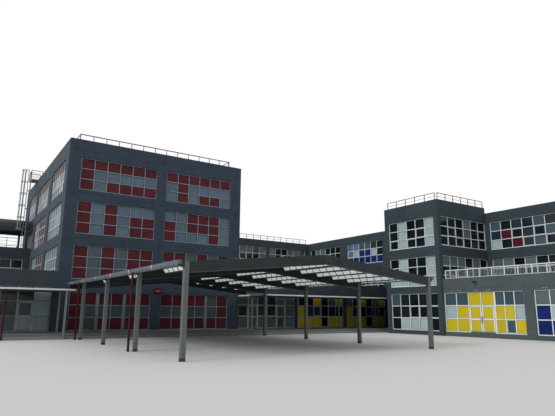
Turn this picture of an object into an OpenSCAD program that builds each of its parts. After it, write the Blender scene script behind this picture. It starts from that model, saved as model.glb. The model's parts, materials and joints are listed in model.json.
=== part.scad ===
// School building as a scale model: a four-storey concrete block with red and pale glazing,
// low wings, two taller rear wings, an open storey, and a gabled canopy with stepped blades.
// Every dimension is the real building's, in millimetres; model_scale makes the model.

/* [Model] */
// Scale of the model against the real building
model_scale = 0.5; // [0.1:0.1:0.5]

/* [Levels] */
// Height of the ground floor above the court
floor_level = 330; // [240:10:420]
// Floor to floor height
storey = 3330; // [3200:10:3600]
// Window sill above its floor, upper storeys
sill = 340; // [200:10:500]
// Window height, upper storeys
window_h = 2500; // [2200:10:2550]
// Height of the ground floor glazing of the block
ground_glazing_h = 2750; // [2600:10:2900]
// Height of the ground floor glazing of the low wings
wing_glazing_h = 3070; // [2900:10:3100]
// Parapet above the roof slab of the block
block_parapet = 870; // [700:10:1100]
// Parapet above the roof slab of the one-storey parts
low_parapet = 840; // [600:10:1000]
// Parapet above the roof slab of the rear and right wings
wing_parapet = 380; // [300:10:600]
// Parapet above the roof slab of the projecting bay
bay_parapet = 880; // [600:10:1000]

/* [Main block] */
// Width of the block along its front
block_w = 14700; // [14600:10:14800]
// Depth of the block
block_d = 22000; // [21900:10:22100]

/* [Wings] */
// Width of the low wing and the tower on the left
left_w = 7000; // [6500:10:7500]
// Depth of the tower and of the rear wing, at the back
rear_d = 7000; // [6500:10:7100]
// Length of the link between the block and the right wing
link_l = 19000; // [18800:10:19200]
// Distance of the link's front behind the block's front
link_setback = 650; // [500:10:800]
// Width of the right wing
right_w = 8000; // [7000:10:9000]
// How far the projecting bay and the terrace stand out from the right wing
bay_out = 6650; // [6400:10:6900]
// Distance from the block's front to the projecting bay
bay_start = 5600; // [5500:10:5700]
// Width of the projecting bay
bay_w = 6050; // [5900:10:6200]
// Length of the one-storey terrace part
terrace_l = 14050; // [13900:10:14200]

/* [Walls and slabs] */
// Thickness of the concrete walls
wall_t = 350; // [300:10:380]
// Thickness of the floor and roof slabs
slab_t = 300; // [200:10:350]

/* [Glazing] */
// Distance of the window frames behind the wall face
recess = 110; // [60:10:140]
// Width of a window bar
bar_w = 70; // [40:5:90]
// Depth of a window bar
bar_d = 70; // [40:5:90]
// Thickness of a glass sheet
glass_t = 24; // [16:2:40]
// Thickness of an opaque panel
panel_t = 40; // [20:5:60]

/* [Doors] */
// Thickness of a door leaf
leaf_t = 60; // [40:5:70]
// Gap all round a door leaf
leaf_gap = 22; // [20:1:26]
// Width of a leaf's stiles and rails
leaf_rail = 110; // [80:5:150]

/* [Court canopy] */
// Half the width between the post lines
canopy_half = 6790; // [6700:10:6850]
// Height of the eaves
eave_h = 3575; // [3500:5:3650]
// Rise of the ridge above the eaves
ridge_rise = 695; // [600:5:800]
// Depth of the gable beams
beam_h = 420; // [380:10:500]
// Side of a square post, and width of the gable beams
post_w = 180; // [160:10:200]
// How far the eaves stand out past the posts
eave_out = 115; // [100:5:130]
// Distance between the gable frames
frame_pitch = 5230; // [5000:10:5300]
// Distance from the block's front to the rear gable frame
frame_rear = 5400; // [5300:10:5500]
// How far the roof runs on past the rear frame
tail_l = 3300; // [3000:10:3400]
// Rows of blades on each slope
blade_rows = 6; // [5:1:7]
// Thickness of a blade
blade_t = 40; // [30:5:50]
// Drop from the roof line to the foot of a riser
riser_drop = 205; // [180:5:230]
// Lean of a riser, from its head to its foot
riser_lean = 110; // [80:5:130]

/* [Walkway canopies] */
// Height of the underside
walk_h = 3060; // [2900:10:3100]
// Thickness of the roof
walk_t = 90; // [60:10:120]
// Width of the raised walk in front of the building
walk_w = 4050; // [3900:10:4100]
// Tread of the step below the raised walk
tread = 350; // [300:10:400]

/* [Hidden] */

// Levels
function floor_z(i) = floor_level + i * storey;
function window_row(i) = [floor_z(i) + sill, floor_z(i) + sill + window_h];
block_row0 = [floor_level, floor_level + ground_glazing_h];
wing_row0 = [floor_level, floor_level + wing_glazing_h];
block_top = floor_z(4) + block_parapet;
low_top = floor_z(1) + low_parapet;
wing_top = floor_z(3) + wing_parapet;
bay_top = floor_z(3) + bay_parapet;
tower_top = floor_z(2) + 600;

// Plan, with the origin at the middle of the block's base
block_x = block_w / 2;
front_y = -block_d / 2;
rear_y = block_d / 2;
left_x = -block_x - left_w;
tower_y = rear_y - rear_d;
link_y = front_y + link_setback;
right_x = block_x + link_l;
right_end = right_x + right_w;
bay_x = right_x - bay_out;
bay_y1 = front_y - bay_start;
bay_y0 = bay_y1 - bay_w;
terrace_x = bay_x + 200;
terrace_y0 = bay_y0 - terrace_l;
walk_y = front_y - walk_w;

// Wall layouts: each bay is [start, width, columns, rows], with rows as [bottom, top]
upper = [window_row(1), window_row(2), window_row(3)];
all_rows = [block_row0, each upper];
mid_rows = [window_row(1), window_row(2)];
front_bays = [[900, 6000, 6, all_rows], [7700, 6000, 6, all_rows]];
// Side walls are measured from the inside face of the front wall
left_bays = [[850, 5600, 6, upper], [7550, 6100, 6, upper],
    [14650, 4700, 5, [window_row(2), window_row(3)]]];
right_bays = [[850, 5600, 6, upper], [7550, 6100, 6, upper], [14650, 4700, 5, [window_row(3)]]];

left_front_bays = [[400, 6350, 6, [wing_row0]]];
tower_front_bays = [[600, 5800, 6, [window_row(1)]]];
tower_rear_bays = [[600, 5800, 6, [block_row0, window_row(1)]]];

link_bays = [[400, 6100, 6, [wing_row0]], [6950, 5600, 6, [wing_row0]],
    [12950, 5600, 6, [wing_row0]]];
rear_front_bays = [for (i = [0 : 2]) [400 + i * 6200, 5700, 6, mid_rows]];
rear_rear_bays = [for (i = [0 : 2]) [400 + i * 6200, 5700, 6, [block_row0, each mid_rows]]];

// The right wing's west face runs from the rear to the front of the site
right_len = rear_y - terrace_y0;
right_west_bays = [[7500, 6000, 6, mid_rows], [14800, 5900, 6, mid_rows],
    [22000, 5000, 5, [wing_row0, each mid_rows]], [34000, 6000, 6, mid_rows],
    [41000, 6000, 6, mid_rows]];
blue_bay = 1;
red_bay = 3;
right_east_bays = [for (i = [0 : 6]) [700 + i * 6700, 6000, 6, [block_row0, each mid_rows]]];
right_end_bays = [[0, right_w - 2 * wall_t, 7, [block_row0, each mid_rows]]];
bay_side_bays = [[0, bay_out - wall_t, 6, mid_rows]];
bay_west_bays = [[450, 5150, 5, [wing_row0, each mid_rows]]];
terrace_bays = [[0, 4440, 4, [wing_row0]], [4440, 2340, 3, [wing_row0]],
    [7500, 6150, 6, [wing_row0]]];
terrace_end_bays = [[0, right_x - terrace_x - wall_t, 6, [wing_row0]]];

// Doors: [start column, columns, rows of the bay's grid that the leaf takes]
grid_rows = 3;
door_rows = 2;
left_door_col = 4;
link_door_cols = [1, 4];
terrace_door_col = 2;

// Coloured cells of a bay: [first column, columns, first row, rows], rows from the bottom
red_ground = [[0, 1, 0, 3], [1, 1, 2, 1], [2, 4, 2, 1], [2, 4, 0, 1]];
red_second = [[0, 1, 0, 3], [2, 1, 0, 3], [4, 2, 0, 3]];
red_third = [[0, 1, 0, 3], [2, 1, 0, 3], [4, 2, 0, 2]];
red_fourth = [[0, 6, 2, 1], [0, 1, 0, 2], [2, 4, 0, 1]];
red_ground_2 = [[0, 4, 2, 1], [5, 1, 1, 2], [0, 6, 0, 1]];
red_second_2 = [[0, 2, 1, 2], [3, 1, 0, 3], [5, 1, 2, 1], [1, 1, 0, 1]];
red_third_2 = [[0, 1, 0, 2], [2, 2, 1, 2], [4, 1, 0, 3]];
red_fourth_2 = [[0, 6, 2, 1], [1, 1, 0, 2], [3, 2, 0, 1]];
red_front = [[red_ground, red_second, red_third, red_fourth],
    [red_ground_2, red_second_2, red_third_2, red_fourth_2]];
red_side_low = [[1, 2, 0, 3], [4, 1, 0, 2]];
red_side_mid = [[0, 6, 2, 1], [3, 2, 0, 1]];
red_side_top = [[0, 6, 2, 1]];
red_left = [[2, 4, 0, 3]];
red_wing = [[1, 1, 1, 1], [2, 1, 0, 1]];
yellow_door_bay = [[0, 1, 0, 1], [1, 1, 0, 2], [2, 2, 2, 1]];
yellow_next_bay = [[0, 1, 0, 2], [1, 1, 1, 1], [2, 1, 0, 1]];
yellow_link = [[0, 1, 0, 2], [2, 1, 2, 1], [1, 2, 0, 1], [4, 2, 0, 1], [5, 1, 2, 1]];
blue_terrace = [[0, 1, 0, 2], [1, 1, 0, 1], [3, 1, 0, 3], [4, 1, 1, 1]];
blue_right = [[0, 6, 0, 1], [2, 2, 1, 1]];

// Places a wall's own frame: x along the wall, y into the building, z up
module at_front(x0, y0) translate([x0, y0, 0]) children();
module at_rear(x1, y1) translate([x1, y1, 0]) rotate([0, 0, 180]) children();
module at_left(x0, y1) translate([x0, y1, 0]) rotate([0, 0, -90]) children();
module at_right(x1, y0) translate([x1, y0, 0]) rotate([0, 0, 90]) children();

// Full-height piers beside the bays of a wall
module piers(run, h, bays) {
    starts = [0, for (b = bays) b[0] + b[1]];
    ends = [for (b = bays) b[0], run];
    for (i = [0 : len(bays)])
        if (ends[i] > starts[i])
            translate([starts[i], 0, 0]) cube([ends[i] - starts[i], wall_t, h]);
}

// Spandrels above, below and between the window rows of each bay
module spandrels(h, bays) {
    for (b = bays) {
        bottoms = [0, for (r = b[3]) r[1]];
        tops = [for (r = b[3]) r[0], h];
        for (i = [0 : len(b[3])])
            translate([b[0], 0, bottoms[i]]) cube([b[1], wall_t, tops[i] - bottoms[i]]);
    }
}

// One sheet of glass in each window
module sheets(bays) {
    for (b = bays)
        for (r = b[3])
            translate([b[0], recess + bar_d, r[0]]) cube([b[1], glass_t, r[1] - r[0]]);
}

// Clear width and height of a cell in a grid of bars
function cell_w(w, cols) = (w - (cols + 1) * bar_w) / cols;
function cell_x(w, cols, i) = bar_w + i * (cell_w(w, cols) + bar_w);

// Grid of window bars with cells cut out of one plate; a door takes cells down to the floor
module bar_grid(w, h, cols, doors = []) {
    ch = cell_w(h, grid_rows);
    difference() {
        cube([w, bar_d, h]);
        for (i = [0 : cols - 1])
            for (j = [0 : grid_rows - 1])
                translate([cell_x(w, cols, i), -1, cell_x(h, grid_rows, j)])
                    cube([cell_w(w, cols), bar_d + 2, ch]);
        for (d = doors)
            translate([cell_x(w, cols, d[0]), -1, -1])
                cube([door_w(w, cols, d[1]), bar_d + 2, door_h(h) + 1]);
    }
}
function door_w(w, cols, n) = n * cell_w(w, cols) + (n - 1) * bar_w;
function door_h(h) = cell_x(h, grid_rows, door_rows) - bar_w;

module frames(bays, doors = []) {
    for (k = [0 : len(bays) - 1])
        for (r = bays[k][3])
            translate([bays[k][0], recess, r[0]])
                bar_grid(bays[k][1], r[1] - r[0], bays[k][2], [for (d = doors) if (d[2] == k) d]);
}

// Opaque panels in chosen cells, flush with the back of the bars
module cell_panels(w, h, cols, areas) {
    for (a = areas)
        for (i = [a[0] : a[0] + a[1] - 1])
            for (j = [a[2] : a[2] + a[3] - 1])
                translate([cell_x(w, cols, i), recess + bar_d - panel_t, cell_x(h, grid_rows, j)])
                    cube([cell_w(w, cols), panel_t, cell_w(h, grid_rows)]);
}
module bay_panels(b, r, areas)
    translate([b[0], 0, r[0]]) cell_panels(b[1], r[1] - r[0], b[2], areas);

// Glass of a bay with door openings: sheets beside and over each doorway
module sheets_with_doors(b, r, doors) {
    w = b[1];
    h = r[1] - r[0];
    slit = bar_w / 2;
    xs = [for (d = doors) cell_x(w, b[2], d[0]) - slit];
    xe = [for (d = doors) cell_x(w, b[2], d[0]) + door_w(w, b[2], d[1]) + slit];
    starts = [0, each xe];
    ends = [each xs, w];
    translate([b[0], recess + bar_d, r[0]]) {
        for (i = [0 : len(doors)])
            translate([starts[i], 0, 0]) cube([ends[i] - starts[i], glass_t, h]);
        for (i = [0 : len(doors) - 1])
            translate([xs[i] + 10, 0, door_h(h) + 10])
                cube([xe[i] - xs[i] - 20, glass_t, h - door_h(h) - 10]);
    }
}

// A door leaf with two recessed lights and three hinge knuckles on its outer left edge
knuckle_r = 10;
knuckle_h = 140;
light_depth = 20;
module door_leaf(w, h) {
    difference() {
        translate([leaf_gap, 0, leaf_gap]) cube([w - 2 * leaf_gap, leaf_t, h - 2 * leaf_gap]);
        for (j = [0 : door_rows - 1])
            for (y = [-1, leaf_t - light_depth])
                translate([leaf_gap + leaf_rail, y, leaf_gap + leaf_rail + j * (h - leaf_rail) / 2])
                    cube([w - 2 * (leaf_gap + leaf_rail), light_depth + 1,
                        (h - leaf_rail) / 2 - leaf_rail - leaf_gap]);
    }
    for (z = [0.12 * h, 0.5 * h, 0.88 * h])
        translate([leaf_gap, 0, z - knuckle_h / 2]) cylinder(r = knuckle_r, h = knuckle_h, $fn = 24);
}

// A leaf in one column of a bay, hung on its left side
module leaf_in(b, r, col)
    translate([b[0] + cell_x(b[1], b[2], col), recess, r[0]])
        door_leaf(cell_w(b[1], b[2]), door_h(r[1] - r[0]));

// The left leaf of a pair that shares a two-column doorway, and its mirror image on the right
module left_of_pair(b, r, col)
    translate([b[0] + cell_x(b[1], b[2], col), recess, r[0]])
        door_leaf(door_w(b[1], b[2], 2) / 2, door_h(r[1] - r[0]));
module right_of_pair(b, r, col) {
    w = door_w(b[1], b[2], 2);
    translate([b[0] + cell_x(b[1], b[2], col) + w, recess, r[0]])
        mirror([1, 0, 0]) door_leaf(w / 2, door_h(r[1] - r[0]));
}

// Slabs of the main block: ground floor down to the ground, three floors and the roof
module block_slabs() color("#8d9196") {
    w = block_w - 2 * wall_t;
    d = block_d - 2 * wall_t;
    translate([-w / 2, -d / 2, 0]) cube([w, d, floor_level]);
    for (i = [1 : 4])
        translate([-w / 2, -d / 2, floor_z(i) - slab_t]) cube([w, d, slab_t]);
}

module block_front_piers() color("#5d656e") {
    at_front(-block_x, front_y) piers(block_w, block_top, front_bays);
    at_rear(block_x, rear_y) piers(block_w, block_top, front_bays);
}

module block_front_spandrels() color("#5d656e") {
    at_front(-block_x, front_y) spandrels(block_top, front_bays);
    at_rear(block_x, rear_y) spandrels(block_top, front_bays);
}

side_run = block_d - 2 * wall_t;
// The left wall's layout starts at the front; seen from outside it starts at the rear
function turned_bay(b, run) = [run - b[0] - b[1], b[1], b[2], b[3]];
function turned(bays, run) = [for (i = [len(bays) - 1 : -1 : 0]) turned_bay(bays[i], run)];
left_turned = turned(left_bays, side_run);

module block_side_piers() color("#666e76") {
    at_left(-block_x, rear_y - wall_t) piers(side_run, block_top, left_turned);
    at_right(block_x, front_y + wall_t) piers(side_run, block_top, right_bays);
}

module block_side_spandrels() color("#666e76") {
    at_left(-block_x, rear_y - wall_t) spandrels(block_top, left_turned);
    at_right(block_x, front_y + wall_t) spandrels(block_top, right_bays);
}

module block_glass() color("#a9b7c4") {
    at_front(-block_x, front_y) sheets(front_bays);
    at_rear(block_x, rear_y) sheets(front_bays);
    at_left(-block_x, rear_y - wall_t) sheets(left_turned);
    at_right(block_x, front_y + wall_t) sheets(right_bays);
}

module block_front_frames() color("#c3c9cf") at_front(-block_x, front_y) frames(front_bays);

module block_side_frames() color("#c3c9cf") {
    at_rear(block_x, rear_y) frames(front_bays);
    at_left(-block_x, rear_y - wall_t) frames(left_turned);
    at_right(block_x, front_y + wall_t) frames(right_bays);
}

module facade_reds(bays, sets) {
    for (k = [0 : len(bays) - 1])
        for (s = [0 : len(bays[k][3]) - 1])
            bay_panels(bays[k], bays[k][3][s], sets[k][s]);
}

module red_panels() color("#8c1f26") {
    sides = [red_side_low, red_side_mid, red_side_top];
    plain = [[[0, 5, 2, 1]], [[0, 5, 2, 1]]];
    at_front(-block_x, front_y) facade_reds(front_bays, red_front);
    at_rear(block_x, rear_y) facade_reds(front_bays, [red_front[1], red_front[0]]);
    at_left(-block_x, rear_y - wall_t) facade_reds(left_turned,
        [plain, [red_left, red_left, red_side_top], [[], [], red_side_top]]);
    at_right(block_x, front_y + wall_t) facade_reds(right_bays, [sides, sides, plain]);
    at_left(right_x, rear_y) bay_panels(right_west_bays[red_bay], window_row(2), red_wing);
}

// Low wing and tower on the left
low_d = tower_y - front_y;
low_side_run = low_d - wall_t;
tower_side_run = rear_d - 2 * wall_t;
low_side_bays = [[0, 7000, 7, [wing_row0]], [7650, 7000, 7, [wing_row0]]];
tower_side_bays = [[0, tower_side_run, 6, [block_row0, window_row(1)]]];

module left_piers() color("#69717a") {
    at_front(left_x, front_y) piers(left_w, low_top, left_front_bays);
    at_front(left_x, tower_y) piers(left_w, tower_top, tower_front_bays);
    at_rear(-block_x, rear_y) piers(left_w, tower_top, tower_rear_bays);
    at_left(left_x, tower_y) piers(low_side_run, low_top, low_side_bays);
}

module left_walls() color("#747c84") {
    at_front(left_x, front_y) spandrels(low_top, left_front_bays);
    at_front(left_x, tower_y) spandrels(tower_top, tower_front_bays);
    at_rear(-block_x, rear_y) spandrels(tower_top, tower_rear_bays);
    at_left(left_x, tower_y) spandrels(low_top, low_side_bays);
    at_left(left_x, rear_y - wall_t) spandrels(tower_top, tower_side_bays);
}

module left_slabs() color("#8d9196") {
    translate([left_x + wall_t, front_y + wall_t, 0]) {
        cube([left_w - wall_t, low_side_run, floor_level]);
        translate([0, 0, floor_z(1) - slab_t]) cube([left_w - wall_t, low_side_run, slab_t]);
    }
    translate([left_x + wall_t, tower_y + wall_t, 0]) {
        cube([left_w - wall_t, tower_side_run, floor_level]);
        for (i = [1, 2])
            translate([0, 0, floor_z(i) - slab_t]) cube([left_w - wall_t, tower_side_run, slab_t]);
    }
}

left_doors = [[left_door_col, 1, 0]];
module left_glass() color("#a9b7c4") {
    at_front(left_x, front_y) sheets_with_doors(left_front_bays[0], wing_row0, left_doors);
    at_front(left_x, tower_y) sheets(tower_front_bays);
    at_rear(-block_x, rear_y) sheets(tower_rear_bays);
    at_left(left_x, tower_y) sheets(low_side_bays);
    at_left(left_x, rear_y - wall_t) sheets(tower_side_bays);
}

module left_frames() color("#d3d8dc") {
    at_front(left_x, front_y) frames(left_front_bays, left_doors);
    at_front(left_x, tower_y) frames(tower_front_bays);
    at_rear(-block_x, rear_y) frames(tower_rear_bays);
    at_left(left_x, tower_y) frames(low_side_bays);
    at_left(left_x, rear_y - wall_t) frames(tower_side_bays);
}

module left_door() color("#ccd3d8")
    at_front(left_x, front_y) leaf_in(left_front_bays[0], wing_row0, left_door_col);

// Open storey on the tower: a roof on two beams, set back from the front. The front posts stand
// on the floor behind the parapet, and the others on the parapets.
open_beam_z = 9650;
open_slab_z = 10050;
open_top = 10350;
open_set = 600;
open_post = 200;
open_y = tower_y + open_set;
open_post_gap = 320;
open_right_x = -block_x - open_post_gap - open_post;
open_post_x = [left_x, (left_x + open_right_x) / 2, open_right_x];
module open_post(x, y, base) translate([x, y, base]) cube([open_post, wall_t, open_beam_z - base]);
module open_storey_posts() color("#69717a")
    for (x = open_post_x) {
        open_post(x, open_y, x == left_x ? tower_top : floor_z(2));
        open_post(x, rear_y - wall_t, tower_top);
    }
module open_storey_beams() color("#747c84") {
    for (y = [open_y, rear_y - wall_t])
        translate([left_x, y, open_beam_z]) cube([left_w, wall_t, open_slab_z - open_beam_z]);
}
module open_storey_roof() color("#8d9196")
    translate([left_x, open_y, open_slab_z])
        cube([left_w, rear_d - open_set, open_top - open_slab_z]);

// Link and rear wing
module rear_piers() color("#69717a") {
    at_front(block_x, link_y) piers(link_l, low_top, link_bays);
    at_front(block_x, tower_y) piers(link_l, wing_top, rear_front_bays);
    at_rear(right_x, rear_y) piers(link_l, wing_top, rear_rear_bays);
}

module rear_walls() color("#747c84") {
    at_front(block_x, link_y) spandrels(low_top, link_bays);
    at_front(block_x, tower_y) spandrels(wing_top, rear_front_bays);
    at_rear(right_x, rear_y) spandrels(wing_top, rear_rear_bays);
}

module rear_slabs() color("#8d9196") {
    link_d = tower_y - link_y - wall_t;
    translate([block_x, link_y + wall_t, 0]) {
        cube([link_l, link_d, floor_level]);
        translate([0, 0, floor_z(1) - slab_t]) cube([link_l, link_d, slab_t]);
    }
    translate([block_x, tower_y + wall_t, 0]) {
        cube([link_l, rear_d - 2 * wall_t, floor_level]);
        for (i = [1 : 3])
            translate([0, 0, floor_z(i) - slab_t]) cube([link_l, rear_d - 2 * wall_t, slab_t]);
    }
}

link_doors = [for (c = link_door_cols) [c, 1, 0]];
module rear_glass() color("#a9b7c4") {
    at_front(block_x, link_y) {
        sheets_with_doors(link_bays[0], wing_row0, link_doors);
        sheets([link_bays[1], link_bays[2]]);
    }
    at_front(block_x, tower_y) sheets(rear_front_bays);
    at_rear(right_x, rear_y) sheets(rear_rear_bays);
}

module rear_frames() color("#d3d8dc") {
    at_front(block_x, link_y) frames(link_bays, link_doors);
    at_front(block_x, tower_y) frames(rear_front_bays);
    at_rear(right_x, rear_y) frames(rear_rear_bays);
}

module link_door_left() color("#ccd3d8")
    at_front(block_x, link_y) leaf_in(link_bays[0], wing_row0, link_door_cols[0]);
module link_door_right() color("#ccd3d8")
    at_front(block_x, link_y) leaf_in(link_bays[0], wing_row0, link_door_cols[1]);

// Right wing, its projecting bay and the one-storey terrace part
module right_piers() color("#69717a") {
    at_left(right_x, rear_y) piers(right_len, wing_top, right_west_bays);
    at_right(right_end, terrace_y0) piers(right_len, wing_top, right_east_bays);
    at_left(bay_x, bay_y1) piers(bay_w, bay_top, bay_west_bays);
    at_left(terrace_x, bay_y0) piers(terrace_l, low_top, terrace_bays);
}

module right_walls() color("#747c84") {
    at_left(right_x, rear_y) spandrels(wing_top, right_west_bays);
    at_right(right_end, terrace_y0) spandrels(wing_top, right_east_bays);
    at_front(right_x + wall_t, terrace_y0) spandrels(wing_top, right_end_bays);
    at_rear(right_end - wall_t, rear_y) spandrels(wing_top, right_end_bays);
    at_left(bay_x, bay_y1) spandrels(bay_top, bay_west_bays);
    at_front(bay_x + wall_t, bay_y0) spandrels(bay_top, bay_side_bays);
    at_rear(right_x, bay_y1) spandrels(bay_top, bay_side_bays);
}

module terrace_walls() color("#7c848c") {
    at_left(terrace_x, bay_y0) spandrels(low_top, terrace_bays);
    at_front(terrace_x + wall_t, terrace_y0) spandrels(low_top, terrace_end_bays);
}

module right_slabs() color("#8d9196") {
    translate([right_x + wall_t, terrace_y0 + wall_t, 0])
        floors(right_w - 2 * wall_t, right_len - 2 * wall_t, 3);
    translate([bay_x + wall_t, bay_y0 + wall_t, 0])
        floors(bay_out - wall_t, bay_w - 2 * wall_t, 3);
    translate([terrace_x + wall_t, terrace_y0 + wall_t, 0])
        floors(right_x - terrace_x - wall_t, terrace_l - wall_t, 1);
}
// Ground floor down to the ground, and the slabs above it
module floors(w, d, n) {
    cube([w, d, floor_level]);
    for (i = [1 : n])
        translate([0, 0, floor_z(i) - slab_t]) cube([w, d, slab_t]);
}

terrace_doors = [[terrace_door_col, 2, 0]];
module right_glass() color("#a9b7c4") {
    at_left(right_x, rear_y) sheets(right_west_bays);
    at_right(right_end, terrace_y0) sheets(right_east_bays);
    at_front(right_x + wall_t, terrace_y0) sheets(right_end_bays);
    at_rear(right_end - wall_t, rear_y) sheets(right_end_bays);
    at_left(bay_x, bay_y1) sheets(bay_west_bays);
    at_front(bay_x + wall_t, bay_y0) sheets(bay_side_bays);
    at_rear(right_x, bay_y1) sheets(bay_side_bays);
    at_left(terrace_x, bay_y0) {
        sheets_with_doors(terrace_bays[0], wing_row0, terrace_doors);
        sheets([terrace_bays[1], terrace_bays[2]]);
    }
    at_front(terrace_x + wall_t, terrace_y0) sheets(terrace_end_bays);
}

module right_frames() color("#d3d8dc") {
    at_left(right_x, rear_y) frames(right_west_bays);
    at_right(right_end, terrace_y0) frames(right_east_bays);
    at_front(right_x + wall_t, terrace_y0) frames(right_end_bays);
    at_rear(right_end - wall_t, rear_y) frames(right_end_bays);
    at_left(bay_x, bay_y1) frames(bay_west_bays);
    at_front(bay_x + wall_t, bay_y0) frames(bay_side_bays);
    at_rear(right_x, bay_y1) frames(bay_side_bays);
}
module terrace_frames() color("#e2e6e8") {
    at_left(terrace_x, bay_y0) frames(terrace_bays, terrace_doors);
    at_front(terrace_x + wall_t, terrace_y0) frames(terrace_end_bays);
}

module yellow_panels() color("#d9b81f") {
    at_left(terrace_x, bay_y0) {
        bay_panels(terrace_bays[0], wing_row0, yellow_door_bay);
        bay_panels(terrace_bays[1], wing_row0, yellow_next_bay);
    }
    at_front(block_x, link_y)
        for (b = [link_bays[1], link_bays[2]]) bay_panels(b, wing_row0, yellow_link);
}

module blue_panels() color("#1b3c8f") {
    at_left(terrace_x, bay_y0) bay_panels(terrace_bays[2], wing_row0, blue_terrace);
    at_left(right_x, rear_y) bay_panels(right_west_bays[blue_bay], window_row(2), blue_right);
}

module terrace_door_left() color("#d9b81f")
    at_left(terrace_x, bay_y0) left_of_pair(terrace_bays[0], wing_row0, terrace_door_col);
module terrace_door_right() color("#d9b81f")
    at_left(terrace_x, bay_y0) right_of_pair(terrace_bays[0], wing_row0, terrace_door_col);

// Raised walk with one step below it, split by a movement joint at the corner of the block
joint = 20;
module raised_walk() color("#9a9da0") {
    translate([left_x, walk_y, 0]) cube([left_w + block_w - joint, walk_w, floor_level]);
    translate([block_x, walk_y, 0]) cube([link_l, walk_w + link_setback, floor_level]);
}
module walk_step() color("#a6a9ab")
    translate([left_x, walk_y - tread, 0]) cube([right_x - left_x, tread, floor_level / 2]);

// Thin roofs over the raised walk, on both sides of the block. The left one stands out past the
// step, and its front posts stand on the ground.
walk_front = walk_y - tread;
left_walk_h = 2990;
left_walk_front = walk_front - 200;
module walkway_roofs() color("#c9ced3") {
    translate([left_x, left_walk_front, left_walk_h])
        cube([left_w + 350, front_y - left_walk_front, walk_t]);
    translate([block_x + 50, walk_front, walk_h])
        cube([link_l - 100, link_y - walk_front, walk_t]);
}
walk_post = 120;
walk_post_pitch = 4770;
left_post_x = [-12340, -12340 + walk_post_pitch];
left_post_y = -13340;
right_post_x = [for (i = [0 : 3]) 7800 + i * walk_post_pitch];
right_post_y = -12600;
module walkway_posts() color("#8f969c") {
    for (x = left_post_x) {
        walkway_post(x, walk_front - walk_post, 0, left_walk_h);
        walkway_post(x, left_post_y, floor_level, left_walk_h);
    }
    for (x = right_post_x) walkway_post(x, right_post_y, floor_level, walk_h);
}
module walkway_post(x, y, foot, head)
    translate([x, y, foot]) cube([walk_post, walk_post, head - foot]);

// Court canopy: gable frames, rows of blades that all rise to the right, and glazed risers
// between the rows. Row lines are numbered from the ridge, negative on the left slope.
slope = ridge_rise / canopy_half;
half_end = canopy_half + eave_out;
half_in = canopy_half - post_w;
function roof_z(x) = eave_h + ridge_rise - slope * abs(x);
row_p = canopy_half / blade_rows;
frame_ys = [for (i = [0 : 3]) front_y - frame_rear - i * frame_pitch];
tail_y = frame_ys[0] + tail_l;
beam_ys = [tail_y, each frame_ys];
// Each field of blades lies between two neighbouring beams, as [start, length]
fields = [for (i = [0 : 3]) [beam_ys[i + 1] + post_w / 2, beam_ys[i] - beam_ys[i + 1] - post_w]];
ridge_plate = 30;

// Extrudes an outline drawn in x and z along y
module along_y(y0, run) translate([0, y0 + run, 0]) rotate([90, 0, 0]) linear_extrude(run) children();

module court_posts() color("#a7adb1")
    for (y = frame_ys)
        for (s = [-1, 1])
            along_y(y - post_w / 2, post_w)
                polygon([[s * half_in, 0], [s * canopy_half, 0],
                    [s * canopy_half, roof_z(canopy_half)], [s * half_in, roof_z(half_in)]]);

// Gable beams end at the posts, and stubs outside the posts carry the gutters. The beam at the
// tail has no posts and runs out to the eaves.
stub_h = 200;
module beam_part(y, a, b, depth)
    along_y(y - post_w / 2, post_w)
        polygon([[a, roof_z(a) - depth], [b, roof_z(b) - depth], [b, roof_z(b)], [a, roof_z(a)]]);
module court_beams() color("#4a4f54")
    for (s = [-1, 1]) {
        for (y = frame_ys) {
            beam_part(y, s * ridge_plate / 2, s * half_in, beam_h);
            beam_part(y, s * canopy_half, s * half_end, stub_h);
        }
        beam_part(tail_y, s * ridge_plate / 2, s * half_end, beam_h);
    }

// Plates that bolt the two halves of each gable beam together
module court_ridge_plates() color("#4a4f54")
    for (y = beam_ys)
        translate([-ridge_plate / 2, y - post_w / 2, roof_z(ridge_plate / 2) - beam_h])
            cube([ridge_plate, post_w, beam_h]);

// Head and foot of the riser on line k; the risers at the eaves are shallower
head_gap = 15;
eave_drop = 90;
eave_lift = 25;
ridge_lift = 25;
lip = 10;
riser_t = 30;
pane_t = 10;
eave_gap = 15;
function head_x(k) =
    k == -blade_rows ? -half_end + eave_gap :
    k == blade_rows ? half_end - eave_gap - riser_lean - riser_t - pane_t : k * row_p;
function foot_x(k) = head_x(k) + riser_lean;
function head_z(k) = roof_z(k * row_p) + (abs(k) == blade_rows ? eave_lift : -head_gap);
function foot_z(k) = roof_z(k * row_p) - (abs(k) == blade_rows ? eave_drop : riser_drop);

// The blade after line k rises from the riser's foot there to over the next riser's head
function left_end(k) = k == 0 ? [lip, roof_z(0) + ridge_lift] : [foot_x(k), foot_z(k)];
function right_end(k) =
    k == -1 ? [-lip, roof_z(0) + ridge_lift] : [head_x(k + 1), head_z(k + 1) + blade_t];
function blade_pitch(k) =
    (right_end(k)[1] - left_end(k)[1]) / (right_end(k)[0] - left_end(k)[0]);
// Height of a blade's top at x
function blade_top(k, x) = left_end(k)[1] + blade_pitch(k) * (x - left_end(k)[0]);

module court_blades() color("#6b7176") {
    for (f = fields)
        for (k = [-blade_rows : blade_rows - 1]) {
            x0 = left_end(k)[0] - (k == 0 ? 0 : lip);
            x1 = right_end(k)[0] + (k == -1 ? 0 : riser_t + pane_t + lip);
            along_y(f[0], f[1])
                polygon([[x0, blade_top(k, x0) - blade_t], [x1, blade_top(k, x1) - blade_t],
                    [x1, blade_top(k, x1)], [x0, blade_top(k, x0)]]);
        }
}

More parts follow.
